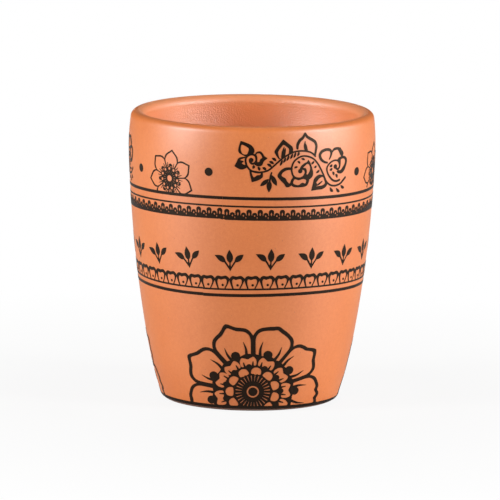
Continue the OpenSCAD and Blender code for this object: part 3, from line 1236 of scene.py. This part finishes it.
@dataclass(frozen=True)
class Petal:
    """One large petal: the direction of its tip in degrees, the tip's radius, its fullness and its span.

    Its edge may dip beside the tip.
    """

    angle: float
    tip: float
    size: float = 1.0
    span: float = 1.0
    dip: float = 0.0
    shoulder: float = 16.75

    def half(self, tip: Sequence[tuple[float, float, float, float]], edge: Sequence[Point]) -> list[Point]:
        """Half the petal's edge from its tip, as angles off its middle and radii.

        Args:
            tip: Angle of each point near the tip, its distance in from it, and its shares of rise and dip.
            edge: Angles and radii of the points from there to the foot.

        Returns:
            The angles and radii of this petal.
        """
        rise = self.tip - self.shoulder * self.size
        near = [(a, self.tip - inside - up * rise - down * self.dip) for a, inside, up, down in tip]
        return [*near, *((a * self.span, r * self.size) for a, r in edge)]

    def outer(self) -> Outline:
        """Outline of the petal with its line."""
        half = self.half(
            [(0.0, 0.0, 0.0, 0.0), (2.0, 0.0, 0.2, 0.4), (4.1, 0.0, 0.56, 1.0)],
            [(7.4, 16.8), (11.0, 16.5), (14.5, 16.15), (17.2, 15.6), (19.3, 14.8), (20.9, 14.1)],
        )
        return placed(petal(half, True), self.angle)

    def inner(self) -> Outline:
        """Outline of the bare clay inside the line."""
        half = self.half(
            [(0.0, 0.85, 0.16, 0.0), (1.8, 0.95, 0.28, 0.4), (3.9, 0.97, 0.61, 1.0)],
            [(7.0, 15.85), (10.4, 15.6), (13.6, 15.25), (16.2, 14.6), (17.7, 13.7), (18.0, 12.4)],
        )
        return placed(petal([*half, (17.2 * self.span, 9.6)], False), self.angle)


@dataclass
class LargeFlower:
    """Large flower with a crown of lobes round a seed head, which stands half behind the base line.

    It was drawn by hand, so its petals, dots and crown aren't quite even. All but the seed head is drawn out
    sideways, and the petals lean to the right of it.
    """

    petals: tuple[Petal, ...] = (
        Petal(-5.5, 16.9, 0.99, dip=0.4), Petal(33.0, 18.3, span=0.9), Petal(71.0, 17.4),
        Petal(112.0, 18.3), Petal(153.0, 18.3), Petal(194.2, 16.0, 0.955),
    )
    vein_turn: float = 10.8
    widen: float = 1.06
    lean: float = 0.2
    ring_r: float = 9.5
    ring_wave: float = 0.28
    dots: tuple[float, ...] = (-0.6, 32.2, 70.6, 114.4, 157.6, 194.6)
    dot_ring: float = 9.95
    dot_r: float = 1.05
    crowns: tuple[float, ...] = (-31.0, 1.0, 33.0, 67.0, 99.0, 129.0, 158.5, 194.0)
    lobes: int = 11
    lobe_first: float = 82.5
    bead_first: float = 98.9
    bead_ring: float = 6.5
    bead_r: float = 0.66
    disc_r: float = 4.5
    disc_wave: float = 0.13
    rays: int = 28
    ray_first: float = 96.4
    ray_steps: int = 8
    top: float = 90.0
    eye_r: float = 1.49
    pupil_r: float = 1.12
    reach: float = 20.0

    def draw(self, floor: float) -> Stencil:
        """Draws the flower about its middle.

        Args:
            floor: Height under which it is cut off level.

        Returns:
            The drawing.
        """
        stencil = Stencil()
        stencil.ink(*(each.outer() for each in self.petals))
        stencil.bare(*(each.inner() for each in self.petals))
        for side in (-1, 1):
            vein = stroke(through([(9.2, 0.0), (11.0, side * 0.2), (12.9, side * -0.1)]), 0.75, 0.5, 0.05)
            stencil.ink(*(placed(vein, each.angle + self.vein_turn * side) for each in self.petals))
        leaning = len(stencil.shapes)
        self.crown(stencil)
        stencil.shapes = [
            Shape([(x * self.widen + self.lean * (i < leaning), y) for x, y in shape.outline], shape.mark)
            for i, shape in enumerate(stencil.shapes)
        ]
        self.head(stencil)
        stencil.trim(floor, self.reach)
        return stencil

    def crown(self, stencil: Stencil) -> None:
        """Draws the crown: its dots, its notched lobes with two ticks and a bead in each, and its domes.

        Args:
            stencil: The flower's drawing.
        """
        stencil.ink(wavy(self.ring_r, self.ring_wave, self.lobes, self.bead_first))
        stencil.ink(*(disc(polar(self.dot_ring, a), self.dot_r, 24) for a in self.dots))
        lobe = through([
            (6.62, 1.62), (7.9, 1.9), (8.85, 1.4), (8.65, 0.6), (8.4, 0.0),
            (8.65, -0.6), (8.85, -1.4), (7.9, -1.9), (6.62, -1.62), (6.8, 0.0),
        ], closed=True)
        stencil.bare(*(placed(lobe, a) for a in self.crowns))
        for side in (-1, 1):
            tick = stroke([(6.5, side * 0.9), (7.6, side * 1.1)], 0.5, 0.24)
            stencil.ink(*(placed(tick, a) for a in self.crowns))
        stencil.ink(*wreath(disc((self.bead_ring, 0.0), self.bead_r, 18), self.lobes, self.bead_first))
        dome = through([
            (4.5, 0.9), (5.2, 1.15), (5.95, 0.85), (6.3, 0.0), (5.95, -0.85), (5.2, -1.15), (4.5, -0.9),
        ], closed=True)
        stencil.bare(*wreath(dome, self.lobes, self.lobe_first))

    def head(self, stencil: Stencil) -> None:
        """Draws the rayed seed head in the middle.

        Args:
            stencil: The flower's drawing.
        """
        stencil.ink(wavy(self.disc_r, self.disc_wave, self.rays, self.top, self.ray_steps * self.rays))
        stencil.bare(*wreath(stroke([(2.75, 0.0), (4.1, 0.0)], 0.1, 0.25), self.rays, self.ray_first))
        stencil.bare(disc((0.0, 0.0), self.eye_r, 32))
        stencil.ink(disc((0.0, 0.0), self.pupil_r, 28))


@dataclass
class Spray:
    """Winding vine with three blossoms, three leaves, a sprig and falling drops."""

    vine: float = 0.31
    coil_r: float = 0.5
    spread: float = 0.065

    def draw(self) -> Stencil:
        """Draws the spray about its middle and returns the drawing."""
        stencil = Stencil(spread=self.spread)
        self.left_blossom(stencil)
        self.middle_blossom(stencil)
        self.right_blossom(stencil)
        self.leaves(stencil)
        self.vines(stencil)
        self.ticks(stencil)
        return stencil

    def left_blossom(self, stencil: Stencil) -> None:
        """Draws four pointed petals round the coil at the vine's left end.

        Args:
            stencil: The spray's drawing.
        """
        stencil.ink(
            pointed([(-12.2, 1.7), (-13.8, 2.6), (-13.9, 3.75), (-13.4, 5.35)],
                    [(-13.4, 5.35), (-12.0, 4.9), (-10.8, 4.25), (-10.2, 3.1), (-10.7, 2.0)]),
            pointed([(-12.2, 1.6), (-13.8, 1.3), (-14.4, 0.25), (-14.9, -0.7)],
                    [(-14.9, -0.7), (-13.3, -1.45), (-11.9, -0.9)]),
            pointed([(-10.2, 2.0), (-9.6, 2.75), (-8.75, 2.9), (-8.2, 2.4), (-7.8, 1.75), (-7.05, 1.3)],
                    [(-7.05, 1.3), (-7.95, 0.55), (-8.4, -0.4), (-9.4, -0.6), (-10.3, 0.0)]),
            pointed([(-11.3, -1.6), (-11.1, -2.75), (-10.65, -4.45)],
                    [(-10.65, -4.45), (-9.25, -4.05), (-8.15, -3.25), (-8.2, -2.1)]),
        )
        stencil.bare(
            through([(-13.3, 4.5), (-12.3, 4.25), (-11.5, 3.65), (-11.55, 2.9), (-12.0, 2.15),
                     (-13.0, 2.25), (-13.5, 3.25)], closed=True),
            through([(-12.3, 1.3), (-13.1, 1.15), (-13.65, 0.8), (-12.8, 0.5), (-13.25, 0.05),
                     (-12.6, -0.4), (-12.2, -0.1)], closed=True),
            through([(-9.75, 2.3), (-8.95, 2.55), (-8.45, 2.0), (-8.25, 1.4), (-8.75, 0.95),
                     (-8.95, 0.4), (-9.5, 0.4), (-9.5, 1.4)], closed=True),
            through([(-10.8, -2.05), (-10.7, -2.7), (-10.2, -3.4), (-9.4, -2.9), (-8.7, -2.8),
                     (-8.6, -2.3), (-9.7, -2.2)], closed=True),
            disc((-11.0, 0.95), 1.25, 28),
        )

    def middle_blossom(self, stencil: Stencil) -> None:
        """Draws three round petals under the coil in the middle.

        Args:
            stencil: The spray's drawing.
        """
        stencil.ink(
            through([(-0.9, -1.3), (-2.4, -1.1), (-3.65, -1.7), (-4.45, -3.0), (-3.75, -4.05),
                     (-2.75, -5.05), (-2.2, -5.8), (-1.2, -5.55), (-0.4, -4.2), (-0.4, -2.6)], closed=True),
            through([(-0.7, -3.5), (-1.2, -4.8), (-0.55, -5.75), (1.0, -5.95), (2.7, -5.8), (3.4, -5.0),
                     (3.5, -3.95), (2.2, -3.4), (0.6, -3.7)], closed=True),
            pointed([(1.45, -1.5), (1.85, -0.75), (2.45, -0.2), (2.95, 0.05), (3.3, 0.5)],
                    [(3.3, 0.5), (3.8, -0.25), (4.3, -1.5), (4.62, -2.75), (4.25, -3.75), (3.1, -4.3),
                     (2.4, -3.5), (2.5, -2.2), (1.45, -1.5)]),
        )
        stencil.bare(
            through([(-1.1, -1.7), (-2.3, -1.7), (-3.3, -2.3), (-3.5, -3.1), (-2.55, -3.75), (-2.05, -4.6),
                     (-1.4, -5.0), (-1.0, -4.1), (-0.6, -3.4), (-0.9, -2.5)], closed=True),
            through([(-0.2, -3.95), (-0.65, -4.8), (-0.15, -5.3), (0.85, -5.5), (1.8, -5.0), (2.6, -5.2),
                     (2.85, -4.4), (2.1, -3.95), (0.85, -4.2)], closed=True),
            through([(2.0, -1.2), (2.5, -0.6), (3.1, -0.35), (3.58, -0.65), (3.9, -1.5), (3.75, -2.2),
                     (3.35, -2.85), (2.98, -3.08), (2.8, -2.75), (2.86, -2.1), (2.6, -1.5)], closed=True),
            disc((0.8, -2.1), 1.75, 32),
        )

    def right_blossom(self, stencil: Stencil) -> None:
        """Draws three open petals round the coil at the right end.

        Args:
            stencil: The spray's drawing.
        """
        stencil.ink(
            stroke(through([(8.65, -0.5), (7.6, -0.15), (6.75, 0.6), (6.5, 1.6), (7.2, 2.4), (8.45, 2.7),
                            (9.5, 2.5), (9.9, 1.8), (9.7, 1.0), (9.3, 0.3)]),
                   0.35, 0.55, 0.62, 0.6, 0.5, 0.15),
            stroke(through([(10.05, 1.9), (10.75, 2.55), (11.75, 2.7), (12.75, 2.5)]), 0.3, 0.55, 0.6),
            through([(11.85, 2.7), (12.85, 2.6), (13.7, 1.75), (13.85, 1.1), (13.35, 0.7), (12.85, 1.1),
                     (12.5, 1.75)], closed=True),
            through([(12.0, -0.05), (12.75, 0.5), (13.85, 0.7), (14.85, 0.25), (15.2, -0.65), (14.8, -1.9),
                     (14.2, -2.9), (13.25, -3.45), (12.1, -3.25), (11.55, -2.5), (12.1, -2.0)], closed=True),
        )
        stencil.bare(
            through([(13.0, -0.05), (14.0, 0.1), (14.55, -0.4), (14.45, -1.3), (13.8, -2.05), (13.1, -2.7),
                     (12.3, -2.65), (12.75, -1.8), (12.95, -0.9)], closed=True),
            disc((10.9, -1.6), 1.6, 28),
        )

    def leaves(self, stencil: Stencil) -> None:
        """Draws the three large leaves and their veins.

        Args:
            stencil: The spray's drawing.
        """
        stencil.ink(
            pointed([(-4.25, 1.05), (-4.95, 2.1), (-5.25, 2.9), (-4.5, 4.05), (-3.15, 5.7)],
                    [(-3.15, 5.7), (-2.0, 4.8), (-0.95, 3.9), (-0.75, 3.0), (-1.1, 2.3)]),
            pointed([(7.8, -3.55), (6.35, -3.3), (5.1, -4.1), (4.7, -5.5), (4.3, -7.0)],
                    [(4.3, -7.0), (6.0, -6.85), (7.35, -6.8), (8.45, -6.25), (8.95, -5.5)]),
        )
        stencil.bare(
            through([(-4.0, 1.15), (-4.5, 2.4), (-4.4, 3.0), (-3.8, 3.8), (-3.1, 4.5), (-2.4, 4.1),
                     (-1.75, 3.5), (-1.7, 2.8), (-1.9, 2.0), (-3.0, 1.3)], closed=True),
            through([(7.5, -3.85), (6.55, -4.05), (5.95, -4.6), (5.55, -5.1), (5.75, -5.5), (5.45, -6.05),
                     (6.3, -6.05), (7.5, -5.95), (8.15, -5.5), (8.0, -4.75)], closed=True),
        )
        stencil.ink(
            stroke(through([(0.4, 3.45), (0.5, 4.4), (1.1, 5.4), (1.85, 5.95), (2.5, 6.95)]),
                   0.45, 0.65, 0.6, 0.4),
            stroke(through([(2.5, 6.95), (3.0, 6.15), (4.25, 5.4), (5.1, 4.8), (5.5, 3.8), (5.3, 2.6),
                            (5.1, 1.5)]),
                   0.4, 0.62, 0.6, 0.5, 0.4),
            stroke(through([(-3.4, 1.5), (-3.25, 2.75), (-2.95, 3.9)]), 0.5, 0.45, 0.05),
            stroke(through([(-3.0, 1.6), (-2.75, 2.9), (-2.65, 3.6)]), 0.4, 0.35, 0.05),
            stroke(through([(2.55, 2.9), (2.3, 4.0), (2.45, 5.05)]), 0.4, 0.35, 0.05),
            stroke(through([(2.9, 2.9), (2.7, 3.9), (2.55, 4.5)]), 0.35, 0.28, 0.05),
            stroke(through([(5.55, -5.9), (6.5, -5.45), (7.3, -4.9)]), 0.12, 0.34, 0.1),
        )

    def vines(self, stencil: Stencil) -> None:
        """Draws the three vines, each from its coil outwards, and the sprig under the first.

        Args:
            stencil: The spray's drawing.
        """
        first = [(-11.0, 0.9), (-11.2, 0.5), (-10.8, 0.0), (-10.1, 0.1), (-9.7, 0.9), (-10.0, 1.9),
                 (-11.0, 2.2), (-12.0, 1.6), (-12.3, 0.75), (-12.0, -0.5), (-11.1, -1.6), (-9.8, -2.1),
                 (-8.5, -2.1), (-7.0, -1.75), (-5.8, -0.9), (-4.5, 0.25), (-3.3, 1.25), (-2.0, 2.0),
                 (-0.8, 2.55), (0.5, 2.8), (2.0, 2.8), (3.5, 2.5), (4.5, 2.0), (5.2, 1.3)]
        second = [(1.2, -2.1), (1.6, -1.5), (2.35, -1.75), (2.6, -2.5), (2.25, -3.25), (1.5, -3.75),
                  (0.5, -3.75), (-0.5, -3.25), (-1.0, -2.0), (-1.0, -1.0), (-0.5, 0.25), (0.5, 1.1),
                  (1.75, 1.55), (3.0, 1.45), (4.25, 1.0), (5.25, 0.25), (6.25, -1.0), (7.0, -2.25),
                  (7.75, -3.6), (8.5, -5.0), (9.5, -5.9), (10.5, -6.25), (11.7, -6.3),
                  (13.0, -6.0), (14.0, -5.25), (14.75, -4.65)]
        third = [(11.3, -1.8), (11.9, -2.35), (12.55, -2.0), (12.7, -1.1), (12.2, -0.45), (11.5, -0.15),
                 (10.5, -0.2), (9.5, -0.65), (8.85, -1.3), (8.6, -2.0), (8.85, -3.0), (9.5, -4.0),
                 (10.5, -4.9), (11.7, -5.25), (12.7, -5.05)]
        stencil.ink(
            stroke(through(first, 4), 0.45, *[self.vine] * 3, 0.3),
            stroke(through(second, 4), 0.45, *[self.vine] * 4, 0.42),
            stroke(through(third, 4), 0.45, *[self.vine] * 3, 0.45),
            stroke(through([(1.3, -1.75), (1.5, -1.25), (2.0, -0.75), (2.5, -0.4)]), 0.4, 0.55, 0.5),
            *(disc(end, self.coil_r) for end in ((-10.95, 0.85), (1.2, -2.05), (11.25, -1.65))),
            stroke(through([(-5.95, -2.2), (-6.2, -3.1), (-6.4, -4.5)]), 0.2, 0.3, 0.3),
            leaf((-6.6, -3.8), (-8.6, -5.45), 0.9, 0.5),
            leaf((-6.45, -4.3), (-6.5, -6.95), 1.15, 0.42),
            leaf((-6.05, -2.8), (-4.65, -5.4), 1.0, 0.5),
        )

    def ticks(self, stencil: Stencil) -> None:
        """Draws the small ticks along the vines and the drops under the right end.

        Args:
            stencil: The spray's drawing.
        """
        fine = [((-3.4, 0.85), (-3.95, -0.55)), ((-2.6, 1.4), (-3.1, 0.15)), ((-1.75, 1.9), (-2.3, 0.6)),
                ((-0.85, 2.3), (-1.4, 1.0)), ((-0.05, 2.55), (-0.55, 1.25)), ((0.85, 2.7), (0.4, 1.6)),
                ((1.4, 0.95), (2.35, 0.6)), ((0.45, 0.35), (1.1, -0.2)), ((-0.35, -1.25), (0.5, -1.0)),
                ((4.85, 0.15), (4.1, -0.5)), ((5.5, -1.0), (4.95, -1.45)), ((6.4, -2.1), (5.5, -2.75))]
        full = [((-10.3, -0.4), (-10.5, -1.2)), ((-9.3, -0.8), (-8.9, -1.7)), ((-8.2, -0.95), (-7.3, -1.6)),
                ((-7.1, -0.1), (-6.0, -0.85)), ((-6.6, 0.5), (-5.5, -0.1)), ((-5.95, 1.3), (-4.9, 0.6)),
                ((10.25, -1.1), (9.45, -1.5)), ((10.25, -2.0), (9.5, -2.4)), ((10.4, -2.85), (10.85, -3.75)),
                ((11.4, -3.5), (11.95, -4.45))]
        drops = [((9.7, -6.6), (10.65, -7.75)), ((11.7, -6.95), (12.85, -8.0)), ((13.2, -6.4), (14.4, -7.2))]
        sizes = ((fine, 0.42, 0.5, 0.08), (full, 0.55, 0.5, 0.1), (drops, 0.62, 0.62, -0.12))
        for ends, width, belly, sway in sizes:
            stencil.ink(*(leaf(a, b, width, belly, sway) for a, b in ends))


@dataclass
class HennaPrint:
    """The whole printed ornament.

    Rules, lace and scallops run round the cup. Flowers, sprays and rosettes stand about a third of a turn
    apart, and the strips that carry the borders aren't laid on quite level.
    """

    wall: WallLine
    finish: FiredInk = field(default_factory=FiredInk)
    base_rule: Rule = Rule(0.8, 1.3, grid=0.25)
    base_seam: float = 180.0
    lower_wide: Rule = Rule(0.75, 29.5)
    lower_fine: Rule = Rule(0.43, 31.0)
    lower_seam: float = -24.6
    scallop_z: float = 31.05
    scallop_seam: float = 162.6
    lace_z: float = 47.95
    lace_girth_z: float = 48.4
    upper_fine: Rule = Rule(0.41, 51.3)
    upper_wide: Rule = Rule(0.74, 53.3)
    upper_girth_z: float = 50.0
    upper_seam: float = -13.6
    flower_z: float = 5.18
    flower_cut_z: float = 1.25
    flowers: tuple[float, ...] = (2.05, 122.05, -115.6)
    rosette: Place = Place(-41.6, 57.05)
    rosette_cut_z: float = 53.45
    rosette_turns: tuple[float, ...] = (0.0, 120.0, 240.0)
    spray_z: float = 62.0
    sprays: tuple[float, ...] = (20.5, 140.5, -103.3)
    dot_r: float = 1.02
    dots: tuple[Place, ...] = (
        Place(-63.5, 58.2), Place(-20.3, 59.6), Place(57.7, 58.3),
        Place(99.5, 59.6), Place(177.0, 58.2), Place(219.8, 59.6),
    )
    sprigs: tuple[Place, ...] = (
        Place(-51.5, 35.5, 6.0), Place(-31.45, 35.65, 8.8), Place(-10.05, 35.55, 2.3),
        Place(9.7, 35.85, -1.0), Place(31.0, 35.8, 0.5), Place(51.8, 35.6, -0.3), Place(72.3, 35.6, 4.0),
    )
    sprig_count: int = 18
    sprig_z: float = 35.65

    def sprig_places(self) -> list[Place]:
        """The sprigs of the front, and evenly spaced ones that make up the row round the back."""
        start, end = self.sprigs[-1].angle, self.sprigs[0].angle + 360.0
        gaps = self.sprig_count - len(self.sprigs) + 1
        angles = [start + (end - start) * i / gaps for i in range(1, gaps)]
        return [*self.sprigs, *(Place(angle, self.sprig_z) for angle in angles)]

    def strip(self, seam: float, height: float, **lay: float) -> Transfer:
        """A strip that was cut to the cup's girth at a height, with its seam at an angle in degrees."""
        return Transfer(seam, self.wall.surface(height)[0], **lay)

    def rows(self) -> list[PrintRow]:
        """Draws every group of the print and returns them in order from the foot up."""
        upper_lay = {"wave": 0.3, "lobes": 2, "crest": -15.0}
        lower_lay = {"wave": 0.17, "lobes": 3, "crest": 25.0}
        upper = self.strip(self.upper_seam, self.upper_girth_z, **upper_lay, sink=-0.15)
        lace = self.strip(self.upper_seam, self.lace_girth_z, **upper_lay, sink=-0.25, climb=0.2)
        lower = self.strip(self.lower_seam, self.lower_fine.height, **lower_lay, sink=-0.05, climb=0.08)
        teeth = self.strip(self.scallop_seam, self.lower_fine.height, **lower_lay, sink=-0.01)
        base = self.strip(self.base_seam, self.base_rule.height, wave=0.11, lobes=1, crest=-75.0, sink=-0.26)
        edge = upper.drift(self.rosette.angle) + self.rosette_cut_z - self.rosette.height
        dot = Stencil()
        dot.ink(disc((0.0, 0.0), self.dot_r, 28))
        return [
            self.base_rule.row("base_line", base),
            PrintRow("large_flowers", LargeFlower().draw(self.flower_cut_z - self.flower_z),
                     [Place(angle, self.flower_z) for angle in self.flowers]),
            self.lower_wide.row("lower_rule_wide", lower),
            self.lower_fine.row("lower_rule_fine", lower),
            teeth.row("scallop_border", Scallops().draw(teeth), self.scallop_z),
            PrintRow("sprig_row", Sprig().draw(), self.sprig_places()),
            lace.row("lace_border", Lace().draw(lace), self.lace_z),
            self.upper_fine.row("upper_rule_fine", upper),
            self.upper_wide.row("upper_rule_wide", upper),
            PrintRow("small_rosettes", Rosette().draw(edge),
                     [replace(self.rosette, angle=self.rosette.angle + turn) for turn in self.rosette_turns]),
            PrintRow("frieze_dots", dot, list(self.dots)),
            PrintRow("vine_sprays", Spray().draw(), [Place(angle, self.spray_z) for angle in self.sprays]),
        ]

    def build(self) -> list[bpy.types.Object]:
        """Wraps every group onto the wall and returns the pieces."""
        ink = self.finish.material()
        return [row.build(self.wall, ink) for row in self.rows()]


@dataclass(frozen=True)
class Softbox:
    """A studio lamp that looks at the cup: its direction in degrees, distance and size in metres.

    A polarised one gives no glare, so it shows in no highlight.
    """

    name: str
    azimuth: float
    elevation: float
    distance: float
    width: float
    height: float
    watts: float
    polarised: bool = False

    def build(self, target: Vector) -> bpy.types.Object:
        """Adds the lamp to the scene.

        Args:
            target: The point that it looks at.

        Returns:
            The lamp.
        """
        lamp = bpy.data.lights.new(self.name, "AREA")
        lamp.energy = self.watts
        lamp.shape = "RECTANGLE"
        lamp.size = self.width
        lamp.size_y = self.height
        piece = bpy.data.objects.new(self.name, lamp)
        a, e = math.radians(self.azimuth), math.radians(self.elevation)
        way = Vector((math.sin(a) * math.cos(e), -math.cos(a) * math.cos(e), math.sin(e)))
        piece.location = target + way * self.distance
        piece.rotation_euler = way.to_track_quat("Z", "Y").to_euler()
        piece.visible_glossy = not self.polarised
        bpy.context.scene.collection.objects.link(piece)
        return piece


@dataclass
class Studio:
    """Pale floor, white surround, soft lamps and the camera at the picture's angle."""

    floor_size: float = 3.0
    floor_drop_mm: float = 0.02
    floor_colour: str = "#BEBCBA"
    shadow_share: float = 0.1
    shadow_fade_mm: tuple[float, float] = (50.0, 160.0)
    ambient: float = 0.05
    aim_x: float = -0.00025
    aim_z: float = 0.03618
    distance: float = 2.0
    elevation: float = 9.146
    roll: float = 0.6375
    px_per_mm: float = 4.1021
    picture_px: float = 500.0
    sensor_mm: float = 36.0
    far_clip: float = 20.0
    lamps: tuple[Softbox, ...] = (
        Softbox("left_high", -65.0, 24.0, 0.9, 0.26, 0.24, 6.5),
        Softbox("left_low", -70.0, 9.0, 0.9, 0.26, 0.24, 3.2),
        Softbox("right_high", 66.0, 24.0, 0.9, 0.22, 0.24, 5.6),
        Softbox("right_low", 68.0, 9.0, 0.9, 0.24, 0.24, 3.5),
        Softbox("right_edge", 94.0, 9.0, 0.9, 0.22, 0.24, 2.1),
        Softbox("back_high", 180.0, 60.0, 1.1, 0.8, 0.6, 0.8),
        Softbox("back_low", 180.0, 14.0, 0.9, 0.4, 0.24, 4.0, polarised=True),
    )

    def build(self) -> None:
        """Adds floor, world, lamps and camera to the scene."""
        self.floor()
        self.world()
        target = Vector((self.aim_x, 0.0, self.aim_z))
        for lamp in self.lamps:
            lamp.build(target)
        self.camera(target)
        bpy.context.scene.view_settings.view_transform = "Standard"

    def floor(self) -> None:
        """Adds a pale floor that shows a faint shadow near the cup and turns white away from it."""
        s = self.floor_size / 2
        lie = -self.floor_drop_mm * MM
        piece = new_object("floor", [(-s, -s, lie), (s, -s, lie), (s, s, lie), (-s, s, lie)], [(0, 1, 2, 3)])
        material, tree = new_tree("paper_sweep_matt")
        place = add_node(tree, "ShaderNodeTexCoord", {}).outputs["Object"]
        reach = add_node(tree, "ShaderNodeVectorMath", {0: place}, operation="LENGTH").outputs["Value"]
        near, far = self.shadow_fade_mm
        glow = add_node(tree, "ShaderNodeMapRange", {
            "Value": reach, "From Min": near * MM, "From Max": far * MM, "To Min": 1 - self.shadow_share,
        }).outputs[0]
        ray = add_node(tree, "ShaderNodeLightPath", {}).outputs["Is Camera Ray"]
        seen = add_node(tree, "ShaderNodeMath", {0: ray, 1: glow}, operation="MULTIPLY").outputs[0]
        paper = add_node(tree, "ShaderNodeBsdfDiffuse", {"Color": linear(self.floor_colour)}).outputs[0]
        white = add_node(tree, "ShaderNodeEmission", {"Color": WHITE, "Strength": 1.0}).outputs[0]
        both = add_node(tree, "ShaderNodeMixShader", {0: seen, 1: paper, 2: white}).outputs[0]
        add_node(tree, "ShaderNodeOutputMaterial", {"Surface": both})
        piece.data.materials.append(material)

    def world(self) -> None:
        """Sets a world that is white to the camera and a plain soft light to everything else."""
        world = bpy.data.worlds.new("white_surround")
        world.use_nodes = True
        tree = world.node_tree
        tree.nodes.clear()
        ray = add_node(tree, "ShaderNodeLightPath", {}).outputs["Is Camera Ray"]
        soft = add_node(tree, "ShaderNodeBackground", {"Color": WHITE, "Strength": self.ambient}).outputs[0]
        white = add_node(tree, "ShaderNodeBackground", {"Color": WHITE, "Strength": 1.0}).outputs[0]
        both = add_node(tree, "ShaderNodeMixShader", {0: ray, 1: soft, 2: white}).outputs[0]
        add_node(tree, "ShaderNodeOutputWorld", {"Surface": both})
        bpy.context.scene.world = world

    def camera(self, target: Vector) -> None:
        """Adds a long lens that looks at the cup from a little above, turned by the picture's slight roll.

        Args:
            target: The point that it looks at.
        """
        data = bpy.data.cameras.new("camera")
        data.sensor_width = self.sensor_mm
        data.lens = self.px_per_mm / MM * self.distance * data.sensor_width / self.picture_px
        data.clip_end = self.far_clip
        piece = bpy.data.objects.new("camera", data)
        e = math.radians(self.elevation)
        piece.location = target + Vector((0.0, -math.cos(e), math.sin(e))) * self.distance
        look = Euler((math.pi / 2 - e, 0.0, 0.0)).to_matrix()
        piece.rotation_euler = (look @ Matrix.Rotation(math.radians(self.roll), 3, "Z")).to_euler()
        bpy.context.scene.collection.objects.link(piece)
        bpy.context.scene.camera = piece


def main() -> None:
    """Builds the cup and the studio in order and reports each piece."""
    logging.basicConfig(level=logging.INFO, format="%(name)s: %(message)s")
    low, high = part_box("cup_body")
    wall = WallLine(cup_h=high.z / MM, belly_r=(high.x - low.x) / 2 / MM)
    pieces = [ClayBody(wall).build(), SatinLining(wall).build(), *HennaPrint(wall).build()]
    for piece in pieces:
        log.info("%s: %d faces", piece.name, len(piece.data.polygons))
    Studio().build()


if __name__ == "__main__":
    main()
